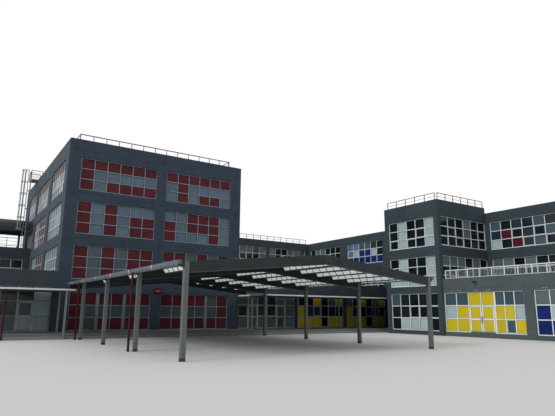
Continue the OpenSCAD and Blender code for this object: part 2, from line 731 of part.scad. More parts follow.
// Section of a riser between two offsets from its left face, less a rim at head and foot
seat_gap = 0.5;
function seat_z(k, x) = seat_gap + (k < blade_rows ? blade_top(k, x) : foot_z(k));
function lid_z(k, x) = (k > -blade_rows ? blade_top(k - 1, x) - blade_t : head_z(k)) - seat_gap;
module riser_section(k, s0, s1, rim = 0) {
    a = foot_x(k);
    b = head_x(k);
    in = rim * (a - b) / (lid_z(k, b) - seat_z(k, a));
    polygon([[a + s0 - in, seat_z(k, a + s0) + rim], [a + s1 - in, seat_z(k, a + s1) + rim],
        [b + s1 + in, lid_z(k, b + s1) - rim], [b + s0 + in, lid_z(k, b + s0) - rim]]);
}

// Riser frames, divided by short posts, and the sheet behind each frame
riser_bar = 24;
riser_rim = 14;
riser_pitch = 550;
lines = [for (k = [-blade_rows : blade_rows]) if (k != 0) k];
module court_risers() color("#8a9095") {
    for (f = fields) {
        n = round(f[1] / riser_pitch);
        cell = (f[1] - (n + 1) * riser_bar) / n;
        for (k = lines)
            difference() {
                along_y(f[0], f[1]) riser_section(k, 0, riser_t);
                for (j = [0 : n - 1])
                    along_y(f[0] + riser_bar + j * (cell + riser_bar), cell)
                        riser_section(k, -2, riser_t + 2, riser_rim);
            }
    }
}
module court_panes() color("#dfe6e8")
    for (f = fields)
        for (k = lines) along_y(f[0], f[1]) riser_section(k, riser_t, riser_t + pane_t);

// Gutter channels along both eaves
gutter_w = 150;
gutter_d = 150;
gutter_t = 15;
gutter_top = roof_z(half_end) + 50;
module court_gutters() color("#b7bcc0") {
    y0 = beam_ys[4] - post_w / 2;
    low = gutter_top - gutter_d;
    out = half_end + gutter_w;
    for (s = [-1, 1])
        along_y(y0, beam_ys[0] + post_w / 2 - y0)
            polygon([[s * half_end, gutter_top], [s * half_end, low], [s * out, low],
                [s * out, gutter_top], [s * (out - gutter_t), gutter_top],
                [s * (out - gutter_t), low + gutter_t], [s * (half_end + gutter_t), low + gutter_t],
                [s * (half_end + gutter_t), gutter_top]]);
}

// Downpipes from the left gutter, and one from the roof of the left walk
pipe_r = 55;
pipe_offset = 100;
walk_pipe_x = -10900;
module downpipes() color("#5a2a2b") {
    for (y = [frame_ys[0], frame_ys[2]])
        translate([-half_end - gutter_w / 2, y + pipe_offset, 0])
            cylinder(r = pipe_r, h = gutter_top - gutter_d, $fn = 32);
    translate([walk_pipe_x, walk_front - pipe_r, 0])
        cylinder(r = pipe_r, h = left_walk_h, $fn = 32);
}

// A flat railing along x, as one fused panel: posts under a top rail, and thin rails between them
rail_w = 50;
thin_rail = 24;
rail_post_pitch = 1010;
module rail_panel(run, h, rails = 3) {
    n = max(1, round(run / rail_post_pitch));
    pitch = (run - rail_w) / n;
    for (i = [0 : n]) translate([i * pitch, 0, 0]) cube([rail_w, rail_w, h]);
    translate([0, 0, h - rail_w]) cube([run, rail_w, rail_w]);
    for (j = [1 : rails - 1])
        translate([0, (rail_w - thin_rail) / 2, j * h / rails - thin_rail]) cube([run, thin_rail, thin_rail]);
}
// The same along y, with its left face at x
module side_rail(x, y, z, run, h, rails = 3)
    translate([x + rail_w, y, z]) rotate([0, 0, 90]) rail_panel(run, h, rails);

roof_rail_h = 1580;
roof_rail_set = 800;
parapet_rail_h = 600;
bay_rail_h = 650;
terrace_rail_h = 700;
terrace_rail_l = 6000;
open_rail_h = 950;
rail_set = 150;
rail_end = 300;
module railings() color("#9aa0a5") {
    // Round the block's roof, on the slab
    sx = block_x - roof_rail_set;
    sy = block_d / 2 - roof_rail_set;
    side_gap = 2 * rail_w;
    for (y = [-sy, sy - rail_w])
        translate([-sx, y, floor_z(4)]) rail_panel(2 * sx, roof_rail_h);
    for (x = [-sx, sx - rail_w])
        side_rail(x, -sy + side_gap, floor_z(4), 2 * (sy - side_gap), roof_rail_h);
    // Rear wing and projecting bay, on the parapets
    translate([block_x + rail_end, tower_y + rail_set, wing_top])
        rail_panel(link_l - 2 * rail_end, parapet_rail_h, 2);
    translate([bay_x + rail_end, bay_y0 + rail_set, bay_top])
        rail_panel(bay_out - rail_end, bay_rail_h, 2);
    side_rail(bay_x + rail_set, bay_y0 + rail_end, bay_top, bay_w - 2 * rail_end, bay_rail_h, 2);
    // Terrace, on the parapet
    side_rail(terrace_x + rail_set, terrace_y0 + rail_end, low_top, terrace_l - rail_end - rail_set,
        terrace_rail_h, 2);
    translate([terrace_x + rail_end, terrace_y0 + rail_set, low_top])
        rail_panel(terrace_rail_l, terrace_rail_h, 2);
    // Open storey: along the front parapet as far as the ladder, and between the rear posts
    translate([left_x + thin_rail, tower_y + rail_set, tower_top])
        rail_panel(cage_x - left_x, open_rail_h);
    for (i = [0, 1])
        translate([open_post_x[i] + open_post + thin_rail, rear_y - wall_t + rail_set, tower_top])
            rail_panel(open_post_x[1] - left_x - open_post - 2 * thin_rail, open_rail_h);
    // Guards of the ladder's landing: both ends run on over the block's parapet
    guard_y1 = landing_y + landing_l - rail_w;
    for (y = [landing_y, guard_y1])
        translate([landing_x, y, block_top]) rail_panel(landing_w + wall_t, guard_h, guard_rails);
    side_rail(landing_x, ladder_y + ladder_w, block_top,
        guard_y1 - thin_rail - ladder_y - ladder_w, guard_h, guard_rails);
}

// Landing at the level of the block's parapet: a grating in a frame, carried by the block's
// wall and by two masts. The ladder stands off from the masts, on the tower's parapet.
landing_w = 675;
landing_l = 1500;
landing_t = 70;
landing_x = -block_x - landing_w;
landing_y = tower_y + 10;
landing_rim = 50;
grate_pitch = 100;
grate_gap = 75;
guard_h = 900;
guard_rails = 4;
module roof_landing() color("#9aa0a5")
    translate([landing_x, landing_y, block_top - landing_t]) difference() {
        cube([landing_w, landing_l, landing_t]);
        for (y = [landing_rim : grate_pitch : landing_l - landing_rim - grate_gap])
            translate([landing_rim, y, -1])
                cube([landing_w - 2 * landing_rim, grate_gap, landing_t + 2]);
    }
ladder_w = 480;
ladder_y = landing_y;
ladder_t = 30;
ladder_off = 200;
ladder_x = landing_x - ladder_off - ladder_t;
ladder_z1 = 15400;
stile_w = 50;
mast_w = 50;
module landing_masts() color("#9aa0a5")
    for (p = [[0, tower_top], [ladder_w - mast_w, floor_z(2)]])
        translate([landing_x, ladder_y + p[0], p[1]])
            cube([mast_w, mast_w, block_top - landing_t - p[1]]);

// The ladder has rungs up to the landing, and its stiles run on as handholds
rung_pitch = 300;
rung_d = 30;
rungs = floor((block_top - tower_top) / rung_pitch);
module roof_ladder() color("#9aa0a5")
    translate([ladder_x, ladder_y, tower_top]) difference() {
        cube([ladder_t, ladder_w, ladder_z1 - tower_top]);
        for (i = [0 : rungs]) {
            z0 = i == 0 ? -1 : i * rung_pitch;
            z1 = i == rungs ? ladder_z1 - tower_top + 1 : (i + 1) * rung_pitch - rung_d;
            translate([-1, stile_w, z0]) cube([ladder_t + 2, ladder_w - 2 * stile_w, z1 - z0]);
        }
    }

// Safety cage: upright straps inside hoops that end on the ladder's stiles
cage_r = 340;
strap_t = 18;
strap_w = 60;
hoop_h = 60;
hoop_pitch = 1188;
cage_z0 = 9400;
cage_y = ladder_y + ladder_w / 2;
cage_x = ladder_x - cage_r * (1 + tan(22.5)) + (ladder_w - stile_w) / 2;
module cage_straps() color("#9aa0a5")
    for (a = [90 : 45 : 270])
        translate([cage_x, cage_y, cage_z0]) rotate([0, 0, a])
            translate([cage_r - 2 * strap_t, -strap_w / 2, 0])
                cube([strap_t, strap_w, ladder_z1 - cage_z0]);
module octagon(r) rotate([0, 0, 22.5]) circle(r = r / cos(22.5), $fn = 8);
module cage_hoops() color("#9aa0a5") {
    for (z = [cage_z0 : hoop_pitch : ladder_z1 - hoop_h])
        translate([cage_x, cage_y, z]) linear_extrude(hoop_h) difference() {
            octagon(cage_r);
            octagon(cage_r - strap_t);
            translate([ladder_x - cage_x, -cage_r]) square([cage_r, 2 * cage_r]);
        }
    // Arms between the ladder and the masts
    for (z = [tower_top + rung_pitch : 6 * rung_pitch : block_top - landing_t - rung_pitch])
        for (y = [ladder_y, ladder_y + ladder_w - mast_w])
            translate([ladder_x + ladder_t, y, z]) cube([ladder_off, mast_w, mast_w]);
}

module model() scale(model_scale) children();

model() block_slabs();
model() block_front_piers();
model() block_side_piers();
model() block_front_spandrels();
model() block_side_spandrels();
model() block_glass();
model() block_front_frames();
model() block_side_frames();
model() red_panels();
model() left_piers();
model() left_walls();
model() left_slabs();
model() left_glass();
model() left_frames();
model() left_door();
model() open_storey_posts();
model() open_storey_beams();
model() open_storey_roof();
model() rear_piers();
model() rear_walls();
model() rear_slabs();
model() rear_glass();
model() rear_frames();
model() link_door_left();
model() link_door_right();
model() right_piers();
model() right_walls();
model() terrace_walls();
model() right_slabs();
model() right_glass();
model() right_frames();
model() terrace_frames();
model() yellow_panels();
model() blue_panels();
model() terrace_door_left();
model() terrace_door_right();
model() raised_walk();
model() walk_step();
model() walkway_roofs();
model() walkway_posts();
model() court_posts();
model() court_beams();
model() court_ridge_plates();
model() court_blades();
model() court_risers();
model() court_panes();
model() court_gutters();
model() downpipes();
model() railings();
model() roof_ladder();
model() cage_straps();
model() cage_hoops();
model() roof_landing();
model() landing_masts();
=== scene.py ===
"""Dresses the school building around its CAD nodes: finishes, window panes, trim, light and camera."""
import json
import logging
import math
import random
from dataclasses import dataclass, field
from enum import Enum
from itertools import product
from typing import Any, Callable, Iterable, Sequence

import bmesh
import bpy
import numpy as np
from mathutils import Matrix, Vector


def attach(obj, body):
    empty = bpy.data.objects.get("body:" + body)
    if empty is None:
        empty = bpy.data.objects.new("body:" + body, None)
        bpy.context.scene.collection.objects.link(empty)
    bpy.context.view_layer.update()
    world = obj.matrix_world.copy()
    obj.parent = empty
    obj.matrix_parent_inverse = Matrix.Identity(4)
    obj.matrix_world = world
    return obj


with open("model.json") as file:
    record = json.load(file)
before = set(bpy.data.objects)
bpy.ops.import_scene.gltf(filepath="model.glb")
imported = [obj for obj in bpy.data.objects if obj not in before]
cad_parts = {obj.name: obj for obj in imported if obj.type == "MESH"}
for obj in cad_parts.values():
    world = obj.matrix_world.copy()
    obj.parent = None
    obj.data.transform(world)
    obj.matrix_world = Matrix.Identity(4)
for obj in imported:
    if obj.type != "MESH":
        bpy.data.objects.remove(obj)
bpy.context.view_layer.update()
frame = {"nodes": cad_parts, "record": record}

LOG = logging.getLogger("school")
METRES = 0.0005  # model metres for one real millimetre
ROOT = "building"
SIDES = (-1, 1)
STOREY = 3330.0  # height of a storey, in real millimetres like all lengths of the building below
FIRST = 330.0  # level of the ground floor
RECESS = 110.0  # depth of the window frames' faces behind the wall's face
Colour = tuple[float, float, float]
Triple = tuple[float, float, float]
Cell = tuple[float, float, float, float]  # left, right, bottom and top


def mm(length: float) -> float:
    """Model metres of a length on the real building in millimetres."""
    return length * METRES


def srgb(red: int, green: int, blue: int) -> Colour:
    """Linear colour of three display values from 0 to 255."""
    shares = (red / 255, green / 255, blue / 255)
    return tuple(((s + 0.055) / 1.055) ** 2.4 if s > 0.04045 else s / 12.92 for s in shares)


def spans(start: float, end: float, count: int, gap: float) -> list[tuple[float, float]]:
    """Equal lengths from start to end as pairs of ends, each cut back by a gap at both of them."""
    run = end - start
    return [(start + run * i / count + gap, start + run * (i + 1) / count - gap) for i in range(count)]


# Shader graphs


def operator(operation: str, flip: bool = False) -> Callable[["Sock", "Sock | float"], "Sock"]:
    """A method of Sock that adds a Math node; flip puts the other operand first."""
    return lambda sock, other: sock.math(operation, other, flip)


class Sock:
    """An output socket of a shader node, with arithmetic operators that add Math nodes."""

    def __init__(self, graph: "Graph", socket: bpy.types.NodeSocket) -> None:
        """Wraps a socket of a graph."""
        self.graph = graph
        self.socket = socket

    def math(self, operation: str, other: "Sock | float", flip: bool = False) -> "Sock":
        """Adds a Math node on this socket.

        Args:
            operation: Name of the Math operation.
            other: Second operand.
            flip: Whether the second operand comes first.

        Returns:
            The result's socket.
        """
        pair = [other, self] if flip else [self, other]
        return self.graph.node("ShaderNodeMath", {"operation": operation}, dict(enumerate(pair)))

    __add__ = operator("ADD")
    __sub__ = operator("SUBTRACT")
    __rsub__ = operator("SUBTRACT", flip=True)
    __mul__ = operator("MULTIPLY")
    __truediv__ = operator("DIVIDE")
    __gt__ = operator("GREATER_THAN")
    __lt__ = operator("LESS_THAN")


class Graph:
    """Builds the node tree of a material or a world."""

    def __init__(self, owner: bpy.types.Material | bpy.types.World) -> None:
        """Clears the owner's tree and starts anew."""
        owner.use_nodes = True
        self.tree = owner.node_tree
        self.tree.nodes.clear()

    def node(self, kind: str, settings: dict[str, Any] | None = None,
             inputs: dict[int | str, Any] | None = None, output: int | str = 0) -> Sock:
        """Adds a node, sets its options and inputs, and gives one of its outputs.

        Args:
            kind: Node type.
            settings: Options of the node.
            inputs: Values or sockets by input index or name.
            output: Index or name of the output wanted.

        Returns:
            The output's socket.
        """
        made = self.tree.nodes.new(kind)
        for key, value in (settings or {}).items():
            setattr(made, key, value)
        for key, value in (inputs or {}).items():
            self.feed(made.inputs[key], value)
        return Sock(self, made.outputs[output] if len(made.outputs) else None)

    def feed(self, socket: bpy.types.NodeSocket, value: Any) -> None:
        """Links a socket or sets a constant on an input."""
        if isinstance(value, Sock):
            self.tree.links.new(value.socket, socket)
        elif isinstance(value, tuple) and socket.type == "RGBA" and len(value) == 3:
            socket.default_value = (*value, 1.0)
        else:
            socket.default_value = value

    def place(self) -> Sock:
        """Position in the model's own frame, in metres."""
        return self.node("ShaderNodeTexCoord", output="Object")

    def geometry(self, output: str) -> Sock:
        """An output of the Geometry node."""
        return self.node("ShaderNodeNewGeometry", output=output)

    def split(self, vector: Sock) -> tuple[Sock, Sock, Sock]:
        """The three parts of a vector."""
        parts = self.node("ShaderNodeSeparateXYZ", inputs={0: vector})
        return tuple(Sock(self, parts.socket.node.outputs[i]) for i in range(3))

    def stretch(self, vector: Sock, scale: Triple) -> Sock:
        """A vector multiplied part by part."""
        return self.node("ShaderNodeVectorMath", {"operation": "MULTIPLY"}, {0: vector, 1: scale})

    def shift(self, vector: Sock, other: Sock | Triple) -> Sock:
        """A vector moved by another."""
        return self.node("ShaderNodeVectorMath", {"operation": "ADD"}, {0: vector, 1: other})

    def noise(self, vector: Sock, scale: float, detail: float = 3.0, rough: float = 0.55) -> Sock:
        """Fractal noise from 0 to 1 at a vector."""
        return self.node("ShaderNodeTexNoise", None,
                         {"Vector": vector, "Scale": scale, "Detail": detail, "Roughness": rough})

    def smooth(self, value: Sock, low: float, high: float, start: float = 0.0, end: float = 1.0) -> Sock:
        """A value eased from one range into another."""
        return self.node("ShaderNodeMapRange", {"interpolation_type": "SMOOTHSTEP"},
                         {0: value, 1: low, 2: high, 3: start, 4: end})

    def mix(self, factor: Sock | float, first: Sock | Colour, second: Sock | Colour,
            blend: str = "MIX") -> Sock:
        """Two colours mixed by a factor."""
        return self.node("ShaderNodeMix", {"data_type": "RGBA", "blend_type": blend},
                         {0: factor, 6: first, 7: second}, 2)

    def bump(self, height: Sock, depth: float, strength: float = 1.0, under: Sock | None = None) -> Sock:
        """A normal bent by a height in units of a depth in metres."""
        inputs = {"Height": height, "Distance": depth, "Strength": strength}
        if under is not None:
            inputs["Normal"] = under
        return self.node("ShaderNodeBump", None, inputs)

    def soft_edges(self, radius: float) -> tuple[Sock, Sock]:
        """Rounded shading at sharp edges.

        Args:
            radius: Radius of the rounding in metres.

        Returns:
            The rounded normal, and a mask that is 1 on edges.
        """
        rounded = self.node("ShaderNodeBevel", {"samples": 4}, {"Radius": radius})
        along = self.node("ShaderNodeVectorMath", {"operation": "DOT_PRODUCT"},
                          {0: rounded, 1: self.geometry("Normal")}, 1)
        return rounded, self.smooth(1.0 - along, 0.02, 0.25)

    def cells(self, vector: Sock, size: Triple) -> Sock:
        """A steady random value for each block of space of a size in metres."""
        scaled = self.stretch(vector, tuple(1 / s for s in size))
        floor = self.node("ShaderNodeVectorMath", {"operation": "FLOOR"}, {0: scaled})
        return self.node("ShaderNodeTexWhiteNoise", {"noise_dimensions": "3D"}, {"Vector": floor})

    def groove(self, value: Sock, pitch: float, start: float, half: float) -> Sock:
        """A mask that is 1 within a half width of the lines at a pitch."""
        phase = self.node("ShaderNodeMath", {"operation": "PINGPONG"}, {0: value - start, 1: pitch / 2})
        return self.smooth(phase, half * 0.6, half * 1.4, 1.0, 0.0)

    def surface(self, **inputs: Any) -> None:
        """Ends a material's graph in a Principled shader with the given inputs."""
        names = (key.replace("_", " ").title().replace("Ior", "IOR") for key in inputs)
        shader = self.node("ShaderNodeBsdfPrincipled", None, dict(zip(names, inputs.values())))
        self.node("ShaderNodeOutputMaterial", None, {"Surface": shader})


# Finishes


@dataclass(frozen=True)
class Finish:
    """A named finish with one base colour."""

    name: str
    colour: Colour
    rough: float = 0.5
    gloss: float = 0.15

    def material(self) -> bpy.types.Material:
        """The finish's material, made once."""
        found = bpy.data.materials.get(self.name)
        if found is None:
            found = bpy.data.materials.new(self.name)
            self.shade(Graph(found))
        return found

    def shade(self, graph: Graph) -> None:
        """Builds the plain form of the finish."""
        graph.surface(base_color=self.colour, roughness=self.rough, specular_ior_level=self.gloss)

    def tone(self, factor: float) -> Colour:
        """The base colour made lighter or darker."""
        return tuple(min(1.0, c * factor) for c in self.colour)

    def tint(self, graph: Graph, mask: Sock, spread: float) -> Sock:
        """The base colour, spread about itself by a mask."""
        return graph.mix(mask, self.tone(1 - spread), self.tone(1 + spread))

    def layer(self, graph: Graph, shade: Sock | Colour, *layers: tuple[Sock, float]) -> Sock:
        """Lays tones of the base colour over a shade.

        Args:
            graph: The material's graph.
            shade: What lies below.
            layers: Pairs of a mask and the tone's factor, from the bottom up.

        Returns:
            The shade with all layers.
        """
        for mask, factor in layers:
            shade = graph.mix(mask, shade, self.tone(factor))
        return shade

    def film(self, graph: Graph, mask: Sock, low: float, high: float, more: float = 0.2) -> Sock:
        """A roughness that grows by some more where a mask rises from low to high."""
        return graph.smooth(mask, low, high, self.rough, self.rough + more)


@dataclass(frozen=True)
class Concrete(Finish):
    """Cast concrete with clouds, grain, streaks, panel joints, and edges painted lighter: partly wear,
    partly painted highlight.
    """

    streak: float = 0.35
    panel: Triple = (0.6, 0.6, 0.8325)
    joint: float = 0.35
    patch: tuple[Triple, Triple] | None = None
    patch_colour: Colour = (0.0, 0.0, 0.0)

    def shade(self, graph: Graph) -> None:
        """Builds the concrete."""
        where = graph.place()
        x, y, z = graph.split(where)
        storey, first = mm(STOREY), mm(FIRST)
        cloud = graph.smooth(graph.noise(where, 0.9, 4.0), 0.3, 0.7)
        mottle = graph.noise(where, 7.0, 5.0, 0.65)
        grain = graph.noise(where, 160.0, 2.0)
        run = graph.noise(graph.stretch(where, (5.5, 5.5, 0.28)), 1.6, 4.0, 0.6)
        below = graph.node("ShaderNodeMath", {"operation": "FRACT"}, {0: (z - first) / storey})
        streaks = graph.smooth(run, 0.52, 0.7) * graph.smooth(below, 0.15, 1.0, 0.25, 1.0)
        lines = graph.groove(z, storey, first, mm(14))
        board = graph.cells(graph.shift(where, (0.013, 0.017, -first)), self.panel)
        rounded, edge = graph.soft_edges(0.012)
        base = self.colour
        if self.patch:
            low, high = self.patch
            inside = (x > low[0]) * (x < high[0]) * (y > low[1]) * (y < high[1]) * (z < high[2])
            base = graph.mix(inside, base, self.patch_colour)
        wear_and_painted_edge_highlight = graph.mix(cloud * 0.55, (0.86, 0.86, 0.86), (1.14, 1.14, 1.14))
        # The edge layer paints edges lighter: partly wear, partly painted highlight.
        stains_and_painted_edge_highlight = ((graph.smooth(mottle, 0.35, 0.75, 0.0, 0.4), 0.72), ((board - 0.5) * 0.16 + 0.08, 1.35),
                  (streaks * self.streak, 0.5), (edge * 0.4, 1.7), (lines * self.joint, 0.3))
        for mask, level in stains_and_painted_edge_highlight:
            wear_and_painted_edge_highlight = graph.mix(mask, wear_and_painted_edge_highlight, (level, level, level))
        height = mottle * 0.35 + grain * 0.25 - lines
        graph.surface(base_color=graph.mix(1.0, base, wear_and_painted_edge_highlight, "MULTIPLY"),
                      roughness=self.film(graph, mottle, 0.2, 0.8, 0.12), specular_ior_level=self.gloss,
                      normal=graph.bump(height, mm(9), 0.7, rounded))


@dataclass(frozen=True)
class Slab(Finish):
    """Roof slabs and paving: a membrane on top faces, plain render elsewhere."""

    sheet: float = 0.5
    top: Colour = srgb(122, 126, 130)

    def shade(self, graph: Graph) -> None:
        """Builds the deck."""
        where = graph.place()
        x = graph.split(where)[0]
        up = graph.smooth(graph.split(graph.geometry("Normal"))[2], 0.6, 0.9)
        seams = graph.groove(x, self.sheet, 0.0, 0.004) * up
        pools = graph.smooth(graph.noise(where, 0.7, 5.0, 0.6), 0.45, 0.62)
        specks = graph.noise(where, 90.0, 3.0)
        rounded, edge = graph.soft_edges(0.01)
        # the edge layer paints edges lighter: partly wear, partly painted highlight
        shade = self.layer(graph, graph.mix(up, self.colour, self.top),
                           (pools * 0.35, 0.62), (seams * 0.5, 0.4), (edge * 0.3, 1.5))
        height = specks * 0.4 - seams
        graph.surface(base_color=shade, roughness=graph.smooth(specks, 0.2, 0.8, 0.62, 0.85),
                      specular_ior_level=self.gloss, normal=graph.bump(height, 0.003, 0.6, rounded))


@dataclass(frozen=True)
class Paving(Finish):
    """Trowelled walk in slabs with joints and soiled patches."""

    pitch: float = 0.75

    def shade(self, graph: Graph) -> None:
        """Builds the paving."""
        where = graph.place()
        x, y, _ = graph.split(where)
        lines = graph.groove(x, self.pitch, 0.175, 0.003).math(
            "MAXIMUM", graph.groove(y, self.pitch, 0.1, 0.003))
        tile = graph.cells(graph.shift(where, (0.2, 0.275, 0.0)), (self.pitch, self.pitch, 5.0))
        dirt = graph.noise(where, 2.2, 5.0, 0.65)
        rounded, edge = graph.soft_edges(0.008)
        stain = graph.smooth(dirt, 0.45, 0.75, 0.0, 0.4)
        # the edge layer paints edges lighter: partly wear, partly painted highlight
        shade = self.layer(graph, self.tone(0.88), (tile * 0.3, 1.1), (stain, 0.6), (edge * 0.4, 1.3),
                           (lines * 0.7, 0.35))
        height = dirt * 0.2 - lines
        graph.surface(base_color=shade, roughness=graph.smooth(dirt, 0.3, 0.7, 0.6, 0.8),
                      specular_ior_level=self.gloss, normal=graph.bump(height, 0.002, 0.6, rounded))


@dataclass(frozen=True)
class Coated(Finish):
    """Powder-coated or painted metal with rounded edges painted lighter, partly wear and partly painted
    highlight, and a tint for each piece.
    """

    spread: float = 0.12
    grime: float = 0.25

    def shade(self, graph: Graph) -> None:
        """Builds the coating."""
        where = graph.place()
        pick = graph.geometry("Random Per Island")
        dirt = graph.smooth(graph.noise(where, 5.0, 4.0, 0.6), 0.45, 0.75)
        peel = graph.noise(where, 220.0, 2.0)
        rounded, edge = graph.soft_edges(0.004)
        # the edge layer paints edges lighter: partly wear, partly painted highlight
        shade = self.layer(graph, self.tint(graph, pick, self.spread), (dirt * self.grime, 0.55),
                           (edge * 0.35, 1.6))
        graph.surface(base_color=shade, roughness=self.film(graph, dirt, 0.0, 1.0),
                      specular_ior_level=self.gloss, normal=graph.bump(peel, 0.0006, 0.3, rounded))


@dataclass(frozen=True)
class Galvanised(Finish):
    """Hot-dip zinc with a spangle."""

    def shade(self, graph: Graph) -> None:
        """Builds the zinc."""
        where = graph.place()
        spangle = graph.node("ShaderNodeTexVoronoi", None, {"Vector": where, "Scale": 55.0}, "Color")
        flake = graph.split(spangle)[0]
        cloud = graph.noise(where, 4.0, 3.0)
        rounded, edge = graph.soft_edges(0.004)
        # the edge layer paints edges lighter: partly wear, partly painted highlight
        shade = self.layer(graph, self.tone(0.82), (flake * 0.5, 1.15),
                           (graph.smooth(cloud, 0.45, 0.8, 0.0, 0.4), 0.65), (edge * 0.3, 1.4))
        graph.surface(base_color=shade, metallic=0.35, roughness=self.film(graph, flake, 0.0, 1.0, 0.18),
                      normal=rounded)


@dataclass(frozen=True)
class Ribbed(Finish):
    """Folded sheet with ribs across the y direction."""

    pitch: float = 0.0555

    def shade(self, graph: Graph) -> None:
        """Builds the ribbed sheet."""
        where = graph.place()
        rib = graph.groove(graph.split(where)[1], self.pitch, 0.0, self.pitch * 0.16)
        dirt = graph.noise(graph.stretch(where, (1.0, 3.0, 1.0)), 2.5, 4.0, 0.6)
        rounded, edge = graph.soft_edges(0.004)
        # the edge layer paints edges lighter: partly wear, partly painted highlight
        shade = self.layer(graph, self.tone(1.1), (graph.smooth(dirt, 0.4, 0.75), 0.7), (rib * 0.25, 0.5),
                           (edge * 0.35, 1.7))
        graph.surface(base_color=shade, roughness=self.film(graph, dirt, 0.2, 0.8), metallic=0.1,
                      specular_ior_level=self.gloss, normal=graph.bump(rib, 0.004, 0.8, rounded))


@dataclass(frozen=True)
class Glass(Finish):
    """Dark window glass: a deep colour under a glossy, slightly wavy face."""

    def shade(self, graph: Graph) -> None:
        """Builds the glass."""
        where = graph.place()
        wave = graph.noise(where, 1.7, 1.0)
        depth = graph.noise(graph.stretch(where, (1.0, 1.0, 0.5)), 0.8, 3.0)
        film = graph.noise(where, 9.0, 4.0, 0.6)
        shade = self.layer(graph, self.tone(0.6), (graph.smooth(depth, 0.35, 0.7), 1.5))
        graph.surface(base_color=shade, roughness=self.film(graph, film, 0.3, 0.8, 0.1),
                      specular_ior_level=0.3, normal=graph.bump(wave, 0.02, 0.12))


@dataclass(frozen=True)
class Pane(Finish):
    """A blind or obscured sheet behind a window's bars, with its own tint for each cell. The sky panes, and
    the brightness of the bright panes, are painted reflection of the sky.
    """

    spread: float = 0.22
    folds: float = 0.0

    def shade(self, graph: Graph) -> None:
        """Builds the pane."""
        where = graph.place()
        pick = graph.geometry("Random Per Island")
        z = graph.split(where)[2]
        haze = graph.noise(graph.stretch(where, (1.0, 1.0, 0.6)), 2.4, 3.0)
        slats = graph.groove(z, 0.035, 0.0, 0.005) * self.folds
        shade = self.layer(graph, self.tint(graph, pick, self.spread),
                           (graph.smooth(haze, 0.4, 0.75, 0.0, 0.35), 0.7), (slats, 0.6))
        graph.surface(base_color=shade, roughness=self.film(graph, haze, 0.2, 0.8, 0.15),
                      specular_ior_level=0.3)


@dataclass(frozen=True)
class Sheet(Finish):
    """A sheet that emits its own colour at a set strength; on the translucent sheets the emission is
    painted glow that stands in for daylight through them.
    """

    glow: float = 0.7

    def shade(self, graph: Graph) -> None:
        """Builds the sheet."""
        where = graph.place()
        haze = graph.noise(where, 3.0, 4.0, 0.6)
        shade = self.layer(graph, self.colour, (graph.smooth(haze, 0.4, 0.8, 0.0, 0.5), 0.85))
        graph.surface(base_color=shade, roughness=self.film(graph, haze, 0.2, 0.8),
                      # emission: painted glow on the translucent sheets; on the clock it lights the digits
                      emission_color=shade, emission_strength=self.glow)


# Front and side concrete are one concrete in two copies: the side copy is painted lighter, as lit, and the
# front copy darker, as in shade.
FRONT_CONCRETE_PAINTED_SHADE = Concrete("front concrete painted shade", srgb(59, 70, 83), 0.78, streak=0.4)
SIDE_CONCRETE_PAINTED_LIT = Concrete("side concrete painted lit", srgb(72, 81, 90), 0.78, streak=0.45)
WING_CONCRETE = Concrete("wing concrete", srgb(64, 70, 76), 0.78, streak=0.3)
TERRACE_GREY = srgb(80, 89, 90)
TERRACE_CONCRETE = Concrete("terrace concrete", TERRACE_GREY, 0.78, streak=0.28)
RIGHT_CONCRETE = Concrete("right wing concrete", srgb(58, 68, 74), 0.78, streak=0.28,
                          patch=((mm(19800), mm(-36800), 0.0), (mm(20300), mm(-22640), mm(4510))),
                          patch_colour=TERRACE_GREY)
WHITE = Coated("white paint", srgb(204, 209, 209), 0.42, spread=0.04)
DARK = Coated("dark paint", srgb(26, 27, 28), 0.45, spread=0.04)
RUBBER = Finish("rubber", srgb(20, 20, 21), 0.85)
ZINC = Galvanised("galvanised steel", srgb(128, 133, 134), 0.42)
DECK = Slab("roof deck", srgb(104, 107, 109), 0.75)
FLASHING = Coated("parapet flashing", srgb(112, 120, 126), 0.45, spread=0.05)

SLOT_FINISH: dict[str, Finish] = {
    # the block's concrete takes the front copy, painted darker as in shade; its side concrete takes the
    # copy painted lighter as lit
    "block_concrete": FRONT_CONCRETE_PAINTED_SHADE,
    "side_concrete": SIDE_CONCRETE_PAINTED_LIT,
    "light_concrete": RIGHT_CONCRETE,
    "slab_concrete": DECK,
    "glass": Glass("window glass", srgb(22, 28, 32), 0.07),
    "window_bars": Coated("block window bars", srgb(84, 94, 104), 0.4, spread=0.05),
    "pale_bars": Coated("pale window bars", srgb(120, 130, 134), 0.4, spread=0.05),
    "red_panel": Coated("red panels", srgb(80, 20, 27), 0.42, spread=0.16, grime=0.4),
    "yellow_panel": Coated("yellow panels", srgb(196, 176, 36), 0.42, spread=0.08, grime=0.15),
    "blue_panel": Coated("blue panels", srgb(16, 36, 98), 0.42, spread=0.2),
    "door_leaf": Coated("door leaves", srgb(160, 170, 177), 0.4, spread=0.04),
    "galvanised": ZINC,
    "dark_beam": Coated("gable beams", srgb(42, 48, 48), 0.5, spread=0.06),
    "blade": Ribbed("blades", srgb(94, 102, 106), 0.5),
    "gutter": Coated("gutters", srgb(88, 99, 110), 0.4, spread=0.03),
    "pipe": Coated("downpipes", srgb(58, 18, 21), 0.45, spread=0.05),
    # painted glow: the translucent sheets emit light that stands in for daylight through them
    "translucent_sheet": Sheet("translucent sheet", srgb(208, 216, 217), 0.5, glow=0.55),
}
WHITE_BARS = Coated("white window bars", srgb(218, 225, 225), 0.4, spread=0.04)
